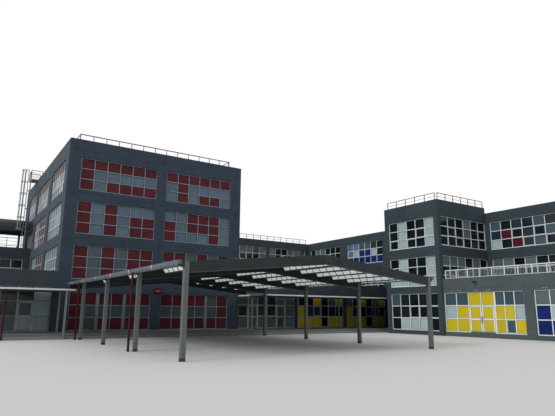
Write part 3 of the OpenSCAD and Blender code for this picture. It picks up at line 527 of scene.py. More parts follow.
NODE_FINISH: dict[str, Finish] = {
    "left_piers": WING_CONCRETE, "left_walls": WING_CONCRETE, "rear_piers": WING_CONCRETE,
    "rear_walls": WING_CONCRETE, "terrace_walls": TERRACE_CONCRETE,
    "terrace_frames": WHITE_BARS,
    "right_frames": Coated("right wing window bars", srgb(172, 182, 184), 0.4, spread=0.04),
    "block_side_frames": Coated("side window bars", srgb(166, 174, 178), 0.4, spread=0.04),
    "raised_walk": Paving("walk paving", srgb(124, 125, 123), 0.7),
    "walk_step": Paving("step paving", srgb(134, 135, 133), 0.7),
    "walkway_roofs": Ribbed("walkway roof sheet", srgb(104, 111, 114), 0.5),
    "court_risers": Coated("riser frames", srgb(84, 92, 96), 0.45, spread=0.04),
    "court_posts": Coated("canopy posts", srgb(96, 101, 101), 0.45, spread=0.05, grime=0.35),
    "railings": Coated("railing paint", srgb(100, 108, 116), 0.45, spread=0.03),
}


# Meshes


def link(name: str, data: bpy.types.ID) -> bpy.types.Object:
    """Adds an object to the scene."""
    made = bpy.data.objects.new(name, data)
    bpy.context.scene.collection.objects.link(made)
    return made


class Mesher:
    """Gathers simple solids in a local frame and joins them into one piece."""

    SHARP = math.radians(35)
    BOX_FACES = ((0, 1, 3, 2), (4, 6, 7, 5), (0, 4, 5, 1), (2, 3, 7, 6), (0, 2, 6, 4), (1, 5, 7, 3))

    def __init__(self, local: Matrix | None = None) -> None:
        """Starts an empty piece in a local frame, by default the model's own."""
        self.local = local or Matrix.Identity(4)
        self.points: list[Vector] = []
        self.faces: list[list[int]] = []

    def add(self, points: Iterable[Sequence[float]], faces: Iterable[Sequence[int]]) -> None:
        """Adds one closed shape.

        Args:
            points: Corners in real millimetres, in the local frame.
            faces: Loops of indices into the points.
        """
        base = len(self.points)
        self.points += [self.local @ (Vector(p) * METRES) for p in points]
        self.faces += [[base + i for i in loop] for loop in faces]

    def box(self, low: Triple, high: Triple, chamfer: float = 0.0) -> None:
        """Adds a box, with flat chamfers on its edges if asked.

        Args:
            low: One corner in real millimetres.
            high: The opposite corner.
            chamfer: Width of the chamfers.
        """
        low, high = zip(*map(sorted, zip(low, high)))
        if chamfer <= 0:
            self.add(product(*zip(low, high)), self.BOX_FACES)
            return
        points = []
        for corner, axis in product(range(8), range(3)):
            inset = [0 if a == axis else chamfer for a in range(3)]
            points.append([high[a] - inset[a] if corner >> a & 1 else low[a] + inset[a] for a in range(3)])
        faces = []
        for axis in range(3):
            u, v = [a for a in range(3) if a != axis]
            square = [i << u | j << v for i, j in ((0, 0), (1, 0), (1, 1), (0, 1))]
            faces += [[3 * (side << axis | c) + axis for c in square] for side in (0, 1)]
            for i in (0, 1, 3, 2):
                one, two = square[i], square[i] | 1 << axis
                faces.append([3 * one + u, 3 * two + u, 3 * two + v, 3 * one + v])
        faces += [[3 * c + a for a in range(3)] for c in range(8)]
        self.add(points, faces)

    def sweep(self, start: Sequence[Sequence[float]], end: Sequence[Sequence[float]]) -> None:
        """Adds the solid between two outlines with as many points."""
        count = len(start)
        sides = [[i, (i + 1) % count, count + (i + 1) % count, count + i] for i in range(count)]
        self.add([*start, *end], [range(count), range(count, 2 * count), *sides])

    def prism(self, outline: Sequence[tuple[float, float]], axis: int, start: float, end: float) -> None:
        """Adds an extruded outline.

        Args:
            outline: Points on the two other axes, in axis order.
            axis: Direction of the extrusion, 0 to 2.
            start: First end on that axis.
            end: Second end.
        """
        self.sweep(*([(*p[:axis], level, *p[axis:]) for p in outline] for level in (start, end)))

    def rod(self, start: Triple, end: Triple, radius: float, sides: int = 12) -> None:
        """Adds a round rod between two points."""
        first, last = Vector(start), Vector(end)
        along = (last - first).normalized()
        side = along.orthogonal().normalized()
        across = along.cross(side)
        ring = [side * math.cos(a) * radius + across * math.sin(a) * radius
                for a in (2 * math.pi * i / sides for i in range(sides))]
        self.sweep([first + r for r in ring], [last + r for r in ring])

    def post(self, x: float, y: float, low: float, high: float, radius: float, sides: int = 24) -> None:
        """Adds an upright rod."""
        self.rod((x, y, low), (x, y, high), radius, sides)

    def ring(self, low: Triple, high: Triple, width: float, chamfer: float = 0.0) -> None:
        """Adds a rectangular frame in the local x and z plane, as four bars."""
        (x0, y0, z0), (x1, y1, z1) = low, high
        self.box((x0, y0, z0), (x1, y1, z0 + width), chamfer)
        self.box((x0, y0, z1 - width), (x1, y1, z1), chamfer)
        self.box((x0, y0, z0 + width), (x0 + width, y1, z1 - width), chamfer)
        self.box((x1 - width, y0, z0 + width), (x1, y1, z1 - width), chamfer)

    def build(self, name: str, finish: Finish, slot: str, body: str = ROOT, smooth: bool = False) -> None:
        """Makes the piece, dresses it and lets it ride on a body.

        Args:
            name: The piece's name.
            finish: Its finish.
            slot: Not used.
            body: The CAD body that carries it.
            smooth: Whether its shallow edges are shaded smooth.
        """
        if not self.faces:
            return
        mesh = bpy.data.meshes.new(name)
        mesh.from_pydata(self.points, [], self.faces)
        piece = link(name, mesh)
        turn_outwards(mesh)
        if smooth:
            mesh.shade_smooth()
            mesh.set_sharp_from_angle(angle=self.SHARP)
        mesh.materials.append(finish.material())
        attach(piece, body)
        LOG.info("%s: %d faces on %s", name, len(mesh.polygons), body)


def turn_outwards(mesh: bpy.types.Mesh) -> None:
    """Turns a mesh's faces outwards."""
    work = bmesh.new()
    work.from_mesh(mesh)
    bmesh.ops.recalc_face_normals(work, faces=work.faces)
    work.to_mesh(mesh)
    work.free()


# Walls and windows


class Facing(Enum):
    """Direction a wall faces, as its own right and inward directions."""

    FRONT = ((1, 0, 0), (0, 1, 0))
    REAR = ((-1, 0, 0), (0, -1, 0))
    LEFT = ((0, -1, 0), (1, 0, 0))
    RIGHT = ((0, 1, 0), (-1, 0, 0))


class Fill(Enum):
    """What stands behind the bars of a window cell; the value is its letter in the patterns."""

    DARK = "."
    PALE = "P"
    HAZE = "H"
    SLATE = "S"
    MURK = "M"
    NAVY = "N"
    GREY = "G"
    SKY_REFLECTION = "B"
    WHITE = "W"
    BRIGHT = "L"


FILL_FINISH: dict[Fill, Pane] = {
    Fill.PALE: Pane("pale panes", srgb(88, 102, 108), 0.35, spread=0.2, folds=0.25),
    Fill.HAZE: Pane("hazy panes", srgb(77, 98, 114), 0.3, spread=0.14),
    Fill.SLATE: Pane("slate panes", srgb(62, 78, 86), 0.3, spread=0.2),
    Fill.MURK: Pane("murky panes", srgb(54, 68, 70), 0.3, spread=0.15),
    Fill.NAVY: Pane("navy panes", srgb(28, 40, 58), 0.3, spread=0.25),
    Fill.GREY: Pane("grey panes", srgb(88, 102, 104), 0.35, spread=0.08),
    # sky panes: the sky's reflection in the glass, painted as a blue sheet behind the bars
    Fill.SKY_REFLECTION: Pane("painted sky reflection panes", srgb(78, 104, 150), 0.3, spread=0.2),
    Fill.WHITE: Pane("white panes", srgb(160, 176, 178), 0.35, spread=0.1, folds=0.15),
    # bright panes: a pale slatted sheet whose brightness is painted sky reflection
    Fill.BRIGHT: Pane("bright panes painted reflection", srgb(134, 148, 156), 0.3, spread=0.2, folds=0.2),
}


def block(cell: Cell, depth: tuple[float, float], inset: float = 0.0) -> tuple[Triple, Triple]:
    """Two corners of a cell's block between two depths, set back from the cell's edges."""
    left, right, low, high = cell
    return (left + inset, depth[0], low + inset), (right - inset, depth[1], high - inset)


@dataclass(frozen=True)
class Bay:
    """A group of window cells: start, width, columns, and (bottom, top) of each storey's window."""

    start: float
    width: float
    columns: int
    storeys: tuple[tuple[float, float], ...]
    doors: tuple[tuple[int, int], ...] = ()

    BAR = 70.0
    GRID = 3
    DOOR_ROWS = 2

    def cell(self, storey: int, column: int, row: int) -> Cell:
        """Clear opening of a cell.

        Args:
            storey: Index of the window.
            column: Column from the left.
            row: Row from the bottom.

        Returns:
            Left, right, bottom and top in the wall's frame.
        """
        bottom, top = self.storeys[storey]
        wide = (self.width - (self.columns + 1) * self.BAR) / self.columns
        high = (top - bottom - (self.GRID + 1) * self.BAR) / self.GRID
        left = self.start + self.BAR + column * (wide + self.BAR)
        low = bottom + self.BAR + row * (high + self.BAR)
        return left, left + wide, low, low + high

    def open_column(self, column: int) -> bool:
        """Whether a doorway takes a column."""
        return any(first <= column < first + count for first, count in self.doors)

    def open_bar(self, bar: int) -> bool:
        """Whether an upright bar stands inside a doorway, so that it starts above it."""
        return any(first < bar < first + count for first, count in self.doors)


@dataclass(frozen=True)
class Wall:
    """A wall with its bays, placed as in the CAD model."""

    name: str
    x: float
    y: float
    facing: Facing
    bays: tuple[Bay, ...]

    def local(self) -> Matrix:
        """The wall's frame: x to the right, y inwards, z up."""
        right, inward = self.facing.value
        base = Matrix((right, inward, (0, 0, 1))).transposed().to_4x4()
        base.translation = Vector((self.x, self.y, 0)) * METRES
        return base


GROUND = (FIRST, 3080.0)
TALL = (FIRST, 3400.0)
UPPER = tuple((FIRST + i * STOREY + 340, FIRST + i * STOREY + 2840) for i in (1, 2, 3))
MIDDLE = UPPER[:2]


def layout() -> list[Wall]:
    """All glazed walls, with the same numbers as the CAD source."""
    front = (Bay(900, 6000, 6, (GROUND, *UPPER)), Bay(7700, 6000, 6, (GROUND, *UPPER)))
    left = (Bay(1950, 4700, 5, UPPER[1:]), Bay(7650, 6100, 6, UPPER), Bay(14850, 5600, 6, UPPER))
    right = (Bay(850, 5600, 6, UPPER), Bay(7550, 6100, 6, UPPER), Bay(14650, 4700, 5, UPPER[2:]))
    east = tuple(Bay(700 + i * 6700, 6000, 6, (GROUND, *MIDDLE)) for i in range(7))
    end = (Bay(0, 7300, 7, (GROUND, *MIDDLE)),)
    side = (Bay(0, 6300, 6, MIDDLE),)
    rear = tuple(Bay(400 + i * 6200, 5700, 6, MIDDLE) for i in range(3))
    rear_rear = tuple(Bay(400 + i * 6200, 5700, 6, (GROUND, *MIDDLE)) for i in range(3))
    return [
        Wall("block_front", -7350, -11000, Facing.FRONT, front),
        Wall("block_rear", 7350, 11000, Facing.REAR, front),
        Wall("block_left", -7350, 10650, Facing.LEFT, left),
        Wall("block_right", 7350, -10650, Facing.RIGHT, right),
        Wall("left_front", -14350, -11000, Facing.FRONT, (Bay(400, 6350, 6, (TALL,), ((4, 1),)),)),
        Wall("tower_front", -14350, 4000, Facing.FRONT, (Bay(600, 5800, 6, UPPER[:1]),)),
        Wall("tower_rear", -7350, 11000, Facing.REAR, (Bay(600, 5800, 6, (GROUND, UPPER[0])),)),
        Wall("left_side", -14350, 4000, Facing.LEFT,
             (Bay(0, 7000, 7, (TALL,)), Bay(7650, 7000, 7, (TALL,)))),
        Wall("tower_side", -14350, 10650, Facing.LEFT, (Bay(0, 6300, 6, (GROUND, UPPER[0])),)),
        Wall("link_front", 7350, -10350, Facing.FRONT,
             (Bay(400, 6100, 6, (TALL,), ((1, 1), (4, 1))), Bay(6950, 5600, 6, (TALL,)),
              Bay(12950, 5600, 6, (TALL,)))),
        Wall("rear_front", 7350, 4000, Facing.FRONT, rear),
        Wall("rear_rear", 26350, 11000, Facing.REAR, rear_rear),
        Wall("right_west", 26350, 11000, Facing.LEFT,
             (Bay(7500, 6000, 6, MIDDLE), Bay(14800, 5900, 6, MIDDLE), Bay(22000, 5000, 5, (TALL, *MIDDLE)),
              Bay(34000, 6000, 6, MIDDLE), Bay(41000, 6000, 6, MIDDLE))),
        Wall("right_east", 34350, -36700, Facing.RIGHT, east),
        Wall("right_south", 26700, -36700, Facing.FRONT, end),
        Wall("right_north", 34000, 11000, Facing.REAR, end),
        Wall("bay_west", 19700, -16600, Facing.LEFT, (Bay(450, 5150, 5, (TALL, *MIDDLE)),)),
        Wall("bay_front", 20050, -22650, Facing.FRONT, side),
        Wall("bay_back", 26350, -16600, Facing.REAR, side),
        Wall("terrace_west", 19900, -22650, Facing.LEFT,
             (Bay(0, 4440, 4, (TALL,), ((2, 2),)), Bay(4440, 2340, 3, (TALL,)),
              Bay(7500, 6150, 6, (TALL,)))),
        Wall("terrace_south", 20250, -36700, Facing.FRONT, (Bay(0, 6100, 6, (TALL,)),)),
    ]


# Cell patterns by wall, bay and storey: rows from the top, one letter for each column
PATTERNS: dict[tuple[str, int, int], tuple[str, str, str]] = {
    ("left_front", 0, 0): (".SP..L", "..P..L", "PPLPLL"),
    ("tower_front", 0, 0): ("....N.", "....N.", "PP..NP"),
    ("link_front", 0, 0): ("PPN.PP", ".PN..P", "P.PP.P"),
    ("link_front", 1, 0): ("..N.P.", ".NN.N.", "......"),
    ("link_front", 2, 0): ("P.N.P.", ".N.NN.", "......"),
    ("right_west", 1, 1): ("BBSS..", "BW..W.", "......"),
    ("right_west", 3, 1): ("S.N.S.", "N..N.S", "W..NS."),
    ("right_west", 4, 1): ("SPSPSP", "SPSPSP", "......"),
    ("bay_west", 0, 0): ("S....", ".....", ".WWW."),
    ("bay_west", 0, 1): (".W..W", ".W..W", "WWWWW"),
    ("bay_west", 0, 2): (".W..W", ".W..W", ".W..W"),
    ("terrace_west", 0, 0): ("SS..", "W...", "...."),
    ("terrace_west", 1, 0): ("SSS", "..W", ".S."),
    ("terrace_west", 2, 0): ("GGGGGG", ".WP..P", "..P.WP"),
}


class Openings:
    """Knows which window cells the CAD's coloured panels already fill."""

    PANELS = ("red_panels", "yellow_panels", "blue_panels")
    SLACK = 0.004

    def __init__(self) -> None:
        """Reads the centres of the panels' faces."""
        centres = []
        for name in self.PANELS:
            piece = frame["nodes"][name]
            centres += [tuple(polygon.center) for polygon in piece.data.polygons]
        self.centres = np.array(centres)

    def filled(self, low: Vector, high: Vector) -> bool:
        """Whether a panel stands in a box of the model, given by two corners."""
        lows = [min(a, b) - self.SLACK for a, b in zip(low, high)]
        highs = [max(a, b) + self.SLACK for a, b in zip(low, high)]
        return bool(np.any(np.all((self.centres > lows) & (self.centres < highs), axis=1)))


@dataclass(frozen=True)
class WindowLook:
    """Finishes around a wall's windows: cover caps, trims, sashes and sills, and seals."""

    caps: Finish
    trims: Finish
    slot: str
    seals: Finish = RUBBER


BLOCK_CAPS = Coated("block cover caps", srgb(142, 152, 162), 0.38, spread=0.05)
WING_CAPS = Coated("wing cover caps", srgb(150, 160, 164), 0.38, spread=0.05)
LOOKS = {
    "block_front": WindowLook(BLOCK_CAPS, Coated("folding stiles", srgb(112, 121, 128), 0.4, spread=0.05),
                              "window_bars"),
    "block_left": WindowLook(WHITE_BARS, WHITE_BARS, "window_bars",
                             Finish("pale seals", srgb(112, 120, 124), 0.7)),
    "block": WindowLook(BLOCK_CAPS, BLOCK_CAPS, "window_bars"),
    "left": WindowLook(WING_CAPS, Coated("wing door trims", srgb(178, 188, 192), 0.4, spread=0.04),
                       "pale_bars"),
    "": WindowLook(WHITE_BARS, WHITE_BARS, "pale_bars"),
}


@dataclass
class Windows:
    """Panes, gaskets, sashes, cover caps, trims and sills in every window of the building.

    The depths are measured inwards from the wall's face.
    """

    openings: Openings
    rng: random.Random = field(default_factory=lambda: random.Random(7))
    sash: float = 34.0
    gasket: float = 13.0
    cap: float = 38.0
    cap_face: float = 104.0
    sill_fall: float = 34.0
    stile: float = 235.0
    gasket_depth: tuple[float, float] = (130.0, 141.0)
    sash_depth: tuple[float, float] = (136.0, 166.0)
    panel_depth: tuple[float, float] = (138.0, 180.0)
    pane_depth: tuple[float, float] = (158.0, 176.0)
    sill_from: float = 400.0

    def letter(self, wall: Wall, bay: int, storey: int, column: int, row: int, blind: int) -> str:
        """What fills a cell: its letter in the wall's pattern, or the wall's usual one.

        Args:
            wall: The wall.
            bay: Index of the bay.
            storey: Index of the window.
            column: Column from the left.
            row: Row from the bottom.
            blind: How many rows of this column a blind covers, from the top.

        Returns:
            The letter of a Fill.
        """
        rows = PATTERNS.get((wall.name, bay, storey))
        if rows:
            return rows[2 - row][column]
        if wall.name in ("block_front", "block_rear"):
            return "MSHH"[storey]
        # the block's left side takes bright panes, whose brightness is painted sky reflection
        if wall.name == "block_left":
            return "L"
        return "P" if 2 - row < blind else "."

    def caps(self, mesher: Mesher, bay: Bay, storey: int) -> None:
        """Adds the cover strips on one window's bars; doorways stay free."""
        back = self.cap_face + 8
        inset = (Bay.BAR - self.cap) / 2
        bottom, top = bay.storeys[storey]
        over_door = bay.cell(storey, 0, Bay.DOOR_ROWS)[2] - Bay.BAR + inset
        for bar in range(bay.columns + 1):
            left = bay.cell(storey, bar, 0)[0] - Bay.BAR + inset
            low = over_door if bay.open_bar(bar) else bottom + 2
            mesher.box((left, self.cap_face, low), (left + self.cap, back, top - 2), 3)
        for bar in range(Bay.GRID + 1):
            low = bay.cell(storey, 0, bar)[2] - Bay.BAR + inset
            for column in range(bay.columns):
                if bar < Bay.DOOR_ROWS and bay.open_column(column):
                    continue
                left, right, _, _ = bay.cell(storey, column, 0)
                mesher.box((left - inset, self.cap_face + 2, low), (right + inset, back, low + self.cap))

    def trims(self, mesher: Mesher, wall: Wall, bay: Bay, storey: int) -> None:
        """Adds the wide covers beside doorways and between the folding leaves of the ground floor."""
        bottom, top = bay.storeys[storey]
        face = self.cap_face - 4
        for first, count in bay.doors:
            left, right = bay.cell(storey, first, 0)[0], bay.cell(storey, first + count - 1, 0)[1]
            head = bay.cell(storey, 0, Bay.DOOR_ROWS)[2]
            for edge in (left - Bay.BAR, right):
                mesher.box((edge + 2, face, bottom + 2), (edge + Bay.BAR - 2, RECESS, top - 2), 3)
            mesher.box((left, face, head - Bay.BAR + 2), (right, RECESS, head - 2), 3)
        if wall.name == "block_front" and storey == 0:
            for column, side in product((2, 4), SIDES):
                middle = bay.cell(storey, column, 0)[0] - Bay.BAR / 2
                mesher.box((middle + side * 6, face, bottom + 2),
                           (middle + side * self.stile / 2, RECESS + 28, top - 2), 4)

    def dress(self, wall: Wall) -> None:
        """Fills the cells of one wall."""
        local = wall.local()
        panes = {fill: Mesher(local) for fill in Fill if fill is not Fill.DARK}
        sashes, sills, caps, trims, gaskets = (Mesher(local) for _ in range(5))
        for b, bay in enumerate(wall.bays):
            for s, (bottom, _) in enumerate(bay.storeys):
                blinds = [self.rng.choice((0, 0, 0, 1, 1, 2)) for _ in range(bay.columns)]
                self.caps(caps, bay, s)
                self.trims(trims, wall, bay, s)
                for column in range(bay.columns):
                    opening_row = self.rng.choice((0, 1, 1, None))
                    for row in range(Bay.GRID):
                        if row < Bay.DOOR_ROWS and bay.open_column(column):
                            continue
                        cell = bay.cell(s, column, row)
                        gaskets.ring(*block(cell, self.gasket_depth), self.gasket)
                        corners = block(cell, self.panel_depth)
                        if self.openings.filled(*(local @ (Vector(c) * METRES) for c in corners)):
                            continue
                        fill = Fill(self.letter(wall, b, s, column, row, blinds[column]))
                        if fill is not Fill.DARK:
                            panes[fill].box(*block(cell, self.pane_depth, 4))
                        if row == opening_row:
                            sashes.ring(*block(cell, self.sash_depth, 6), self.sash, 4)
                if bottom > self.sill_from:
                    sills.prism([(12, bottom), (RECESS, bottom + self.sill_fall), (RECESS, bottom)], 0,
                                bay.start + 4, bay.start + bay.width - 4)
        for fill, mesher in panes.items():
            mesher.build(f"{wall.name}_{fill.name.lower()}_panes", FILL_FINISH[fill], "glass")
        look = next(look for start, look in LOOKS.items() if wall.name.startswith(start))
        for kind, mesher, finish in (("sashes", sashes, look.trims), ("sills", sills, look.trims),
                                     ("cover_caps", caps, look.caps), ("door_trims", trims, look.trims),
                                     ("gaskets", gaskets, look.seals)):
            mesher.build(f"{wall.name}_{kind}", finish, look.slot)


# Doors


@dataclass(frozen=True)
class Leaf:
    """One door leaf: its body, doorway and the fittings that ride on it."""

    body: str
    wall: str
    column: int
    share: int = 1
    mirrored: bool = False

    GAP = 22.0
    RAIL = 110.0
    DEPTH = 60.0
    LIGHT = 20.0
    SHEET = 7.0
    GRIP = -58.0
    SHORT_PULL = 420.0
    LONG_PULL = 700.0

    def frame(self, wall: Wall) -> tuple[Matrix, float, float]:
        """The leaf's own frame, with x from its hinge side and y inwards.

        Args:
            wall: The wall with the doorway, in its first bay.

        Returns:
            The frame, and the doorway's width and height for this leaf.
        """
        bay = wall.bays[0]
        left = bay.cell(0, self.column, 0)[0]
        right = bay.cell(0, self.column + self.share - 1, 0)[1]
        bottom = bay.storeys[0][0]
        height = bay.cell(0, 0, Bay.DOOR_ROWS)[2] - Bay.BAR - bottom
        hinge = right if self.mirrored else left
        place = wall.local() @ Matrix.Translation(Vector((hinge, RECESS, bottom)) * METRES)
        if self.mirrored:
            place = place @ Matrix.Diagonal((-1, 1, 1, 1))
        return place, (right - left) / self.share, height

    def lights(self, width: float, height: float) -> list[Cell]:
        """The two recessed lights."""
        side = self.GAP + self.RAIL
        pitch = (height - self.RAIL) / 2
        return [(side, width - side, side + j * pitch, j * pitch + pitch) for j in (0, 1)]

    def glaze(self, place: Matrix, width: float, height: float, finishes: tuple[Finish, Finish],
              slot: str) -> None:
        """Fills both faces of the lower and the upper light, with a bead round each."""
        beads = Mesher(place)
        back = self.DEPTH - self.LIGHT
        lights = self.lights(width, height)
        for name, finish, (left, right, low, high) in zip(("lower", "upper"), finishes, lights):
            panes = Mesher(place)
            for near, far in ((self.LIGHT - self.SHEET, self.LIGHT), (back, back + self.SHEET)):
                panes.box((left + 1, near, low + 1), (right - 1, far, high - 1))
            panes.build(f"{self.body}_{name}_light", finish, slot, self.body)
            for near, far in ((4, self.LIGHT), (back, self.DEPTH - 4)):
                beads.ring((left, near, low), (right, far, high), 14, 3)
        beads.build(f"{self.body}_beads", RUBBER, "door_leaf", self.body)

    def cover(self, place: Matrix, width: float, height: float) -> None:
        """Adds thin white covers on the stiles and rails, on both faces."""
        covers = Mesher(place)
        low, high = self.GAP + 3, height - self.GAP - 3
        (left, right, z0, z1), (_, _, z2, z3) = self.lights(width, height)
        left, right = left - 2, right + 2
        for near, far in ((-4, 1), (self.DEPTH - 1, self.DEPTH + 4)):
            for start, end in ((self.GAP + 12, left), (right, width - low)):
                covers.box((start, near, low), (end, far, high), 1.5)
            for bottom, top in ((low, z0 - 2), (z1 + 2, z2 - 2), (z3 + 2, high)):
                covers.box((left, near + 0.5, bottom), (right, far, top))
        covers.build(f"{self.body}_covers", WHITE_BARS, "pale_bars", self.body)

    def fittings(self, place: Matrix, width: float, height: float, bar: float) -> None:
        """Adds the pull bar, its rosettes, the lock, a kick plate and the closer."""
        pull, dark = Mesher(place), Mesher(place)
        x = width - self.GAP - self.RAIL / 2
        low, high = (height - bar) / 2, (height + bar) / 2
        left, right, head = self.GAP + 26, width - self.GAP - 12, height - self.GAP
        pull.rod((x, self.GRIP, low), (x, self.GRIP, high), 15, 16)
        for z in (low + 60, high - 60):
            pull.rod((x, self.GRIP, z), (x, -2, z), 10, 12)
            pull.rod((x, -8, z), (x, -3, z), 24, 20)
        dark.rod((x, -6, low - 110), (x, -1, low - 110), 26, 20)
        pull.box((left, -7, self.GAP + 10), (right, -1, self.GAP + self.RAIL - 12), 2)
        dark.box((left + 34, self.DEPTH + 4, head - 90), (left + 314, self.DEPTH + 54, head - 34), 6)
        pull.build(f"{self.body}_pull", ZINC, "galvanised", self.body, smooth=True)
        dark.build(f"{self.body}_closer", DARK, "dark_beam", self.body, smooth=True)

    def dress(self, wall: Wall) -> None:
        """Dresses the leaf in its wall."""
        size = self.frame(wall)
        if self.share == 2:
            self.glaze(*size, (SLOT_FINISH["yellow_panel"],) * 2, "yellow_panel")
            self.cover(*size)
            self.fittings(*size, self.SHORT_PULL)
        else:
            lower = Fill.BRIGHT if self.wall == "left_front" else Fill.MURK
            self.glaze(*size, (FILL_FINISH[lower], FILL_FINISH[Fill.SLATE]), "glass")
            self.fittings(*size, self.LONG_PULL)


LEAVES = (Leaf("left_door", "left_front", 4), Leaf("link_door_left", "link_front", 1),
          Leaf("link_door_right", "link_front", 4), Leaf("terrace_door_left", "terrace_west", 2, 2),
          Leaf("terrace_door_right", "terrace_west", 2, 2, True))


# Canopy and pipes


@dataclass(frozen=True)
class Canopy:
    """Fittings of the court canopy: shoes, splices, flanges, eave clips, gutter and pipe parts.

    Posts and beams share one half width. The eave and the gutter are given by their distance from
    the middle, and the gutter by its low and top level as well.
    """

    post: float = 6700.0
    half: float = 90.0
    frames: tuple[float, ...] = (-16400.0, -21630.0, -26860.0, -32090.0)
    tail: float = -13100.0
    ridge: float = 4270.0
    slope: float = 0.10236
    beam: float = 420.0
    flange: float = 12.0
    eave: float = 6905.0
    gutter: float = 7055.0
    low: float = 3463.0
    top: float = 3613.0
    shoe: float = 120.0
    plate: float = 190.0
    bolt: float = 12.0
    strap_start: float = 1400.0
    strap_pitch: float = 2985.0
    clip_start: float = 120.0
    clip_pitch: float = 436.0
    clip_length: float = 240.0
    drains: tuple[tuple[float, float], ...] = ((-6980.0, -16300.0), (-6980.0, -26760.0))
    drain_clips: tuple[float, ...] = (500.0, 1450.0, 2400.0, 3200.0)
    drain_joints: tuple[float, ...] = (1100.0, 2200.0)
    walkway_pipe: tuple[float, float] = (-10900.0, -15455.0)
    walkway_clips: tuple[float, ...] = (500.0, 1600.0, 2700.0)

    def roof(self, x: float) -> float:
        """Height of the roof line."""
        return self.ridge - self.slope * abs(x)

    def bases(self) -> None:
        """Adds a dark shoe at the foot of each post."""
        shoes = Mesher()
        reach = self.half + 2
        for y, side in product(self.frames, SIDES):
            x = side * self.post
            shoes.box((x - reach, y - reach, 0.5), (x + reach, y + reach, self.shoe), 2)
        shoes.build("court_post_shoes", Coated("post shoes", srgb(58, 62, 62), 0.6, grime=0.5),
                    "galvanised")

    def clips(self) -> None:
        """Adds the pale sheet clips along both eaves, under the gutters."""
        clips = Mesher()
        count = int((self.tail - self.frames[-1]) // self.clip_pitch)
        for i, side in product(range(count), SIDES):
            y = self.tail - self.clip_start - i * self.clip_pitch
            clips.box((side * (self.eave + 8), y - self.clip_length, self.low - 26),
                      (side * (self.eave + 52), y, self.low - 1), 2)
        clips.build("court_eave_clips", Coated("eave clips", srgb(196, 203, 205), 0.4), "gutter")

    def joints(self) -> None:
        """Adds bolted splice plates at the ridge of each gable beam."""
        plates, bolts = Mesher(), Mesher()
        for y, face in product((self.tail, *self.frames), SIDES):
            start = y + face * (self.half + 10)
            plates.box((-self.plate, y + face * self.half, self.ridge - 400),
                       (self.plate, start, self.ridge - 60), 2)
            for x, z in product((-140, -60, 60, 140), (-340, -230, -120)):
                bolts.rod((x, start, self.ridge + z), (x, start + face * self.bolt, self.ridge + z),
                          self.bolt, 6)
        plates.build("court_joint_plates", SLOT_FINISH["dark_beam"], "dark_beam")
        bolts.build("court_joint_bolts", ZINC, "galvanised")

    def flanges(self) -> None:
        """Adds the pale edge under each gable beam."""
        edges = Mesher()
        reach = self.half + 8
        for y, side in product((self.tail, *self.frames), SIDES):
            outer = self.eave - 4 if y == self.tail else self.post - self.half - 16
            upper, lower = self.beam, self.beam + self.flange
            corners = ((16, upper), (outer, upper), (outer, lower), (16, lower))
            edges.prism([(side * x, self.roof(x) - drop) for x, drop in corners], 1, y - reach, y + reach)
        edges.build("court_beam_flanges", Coated("beam flanges", srgb(92, 100, 101), 0.5, spread=0.04),
                    "dark_beam")

    def gutters(self) -> None:
        """Adds joint straps, stop ends and outlets to the gutters."""
        straps, ends, outlets = Mesher(), Mesher(), Mesher()
        start, finish = self.tail + self.half, self.frames[-1] - self.half
        low, top, far = self.low, self.top, self.gutter + 7
        bands = ((self.gutter, 35, low - 7, top + 5), (self.eave + 4, 35, low - 7, low),
                 (self.eave + 4, 12, top, top + 5))
        for side in SIDES:
            for i in range(int((start - finish) // self.strap_pitch)):
                y = start - self.strap_start - i * self.strap_pitch
                for x, reach, bottom, head in bands:
                    straps.box((side * x, y - reach, bottom), (side * far, y + reach, head), 2)
            for y in (start - 12, finish + 2):
                ends.box((side * (self.eave + 16), y, low + 16),
                         (side * (self.gutter - 16), y + 10, top - 2))
        for x, y in self.drains:
            outlets.post(x, y, low - 60, low - 1, 66)
            outlets.post(x, y, low - 22, low - 1, 72)
        straps.build("court_gutter_straps", Coated("gutter straps", srgb(200, 207, 209), 0.4, spread=0.05),
                     "gutter")
        ends.build("court_gutter_ends", SLOT_FINISH["gutter"], "gutter")
        outlets.build("court_gutter_outlets", SLOT_FINISH["pipe"], "pipe", smooth=True)

    def pipes(self) -> None:
        """Adds clips, collars and shoes to the downpipes."""
        clips, shoes = Mesher(), Mesher()
        for x, y in self.drains:
            for z in self.drain_clips:
                clips.post(x, y, z, z + 40, 61)
                clips.box((x + 40, y - 34, z + 6), (4 - self.post - self.half, y - 14, z + 34), 2)
            for z in self.drain_joints:
                shoes.post(x, y, z, z + 70, 60)
            shoes.post(x, y, 1, 90, 64)
        for z in self.walkway_clips:
            clips.post(*self.walkway_pipe, z, z + 40, 61)
        shoes.post(*self.walkway_pipe, 2900, 2989, 66)
        shoes.post(*self.walkway_pipe, 1, 90, 64)
        clips.build("pipe_clips", DARK, "galvanised", smooth=True)
        shoes.build("pipe_collars", SLOT_FINISH["pipe"], "pipe", smooth=True)

    def dress(self) -> None:
        """Adds all fittings."""
        for add in (self.bases, self.joints, self.flanges, self.clips, self.gutters, self.pipes):
            add()


# Roof edges and rails


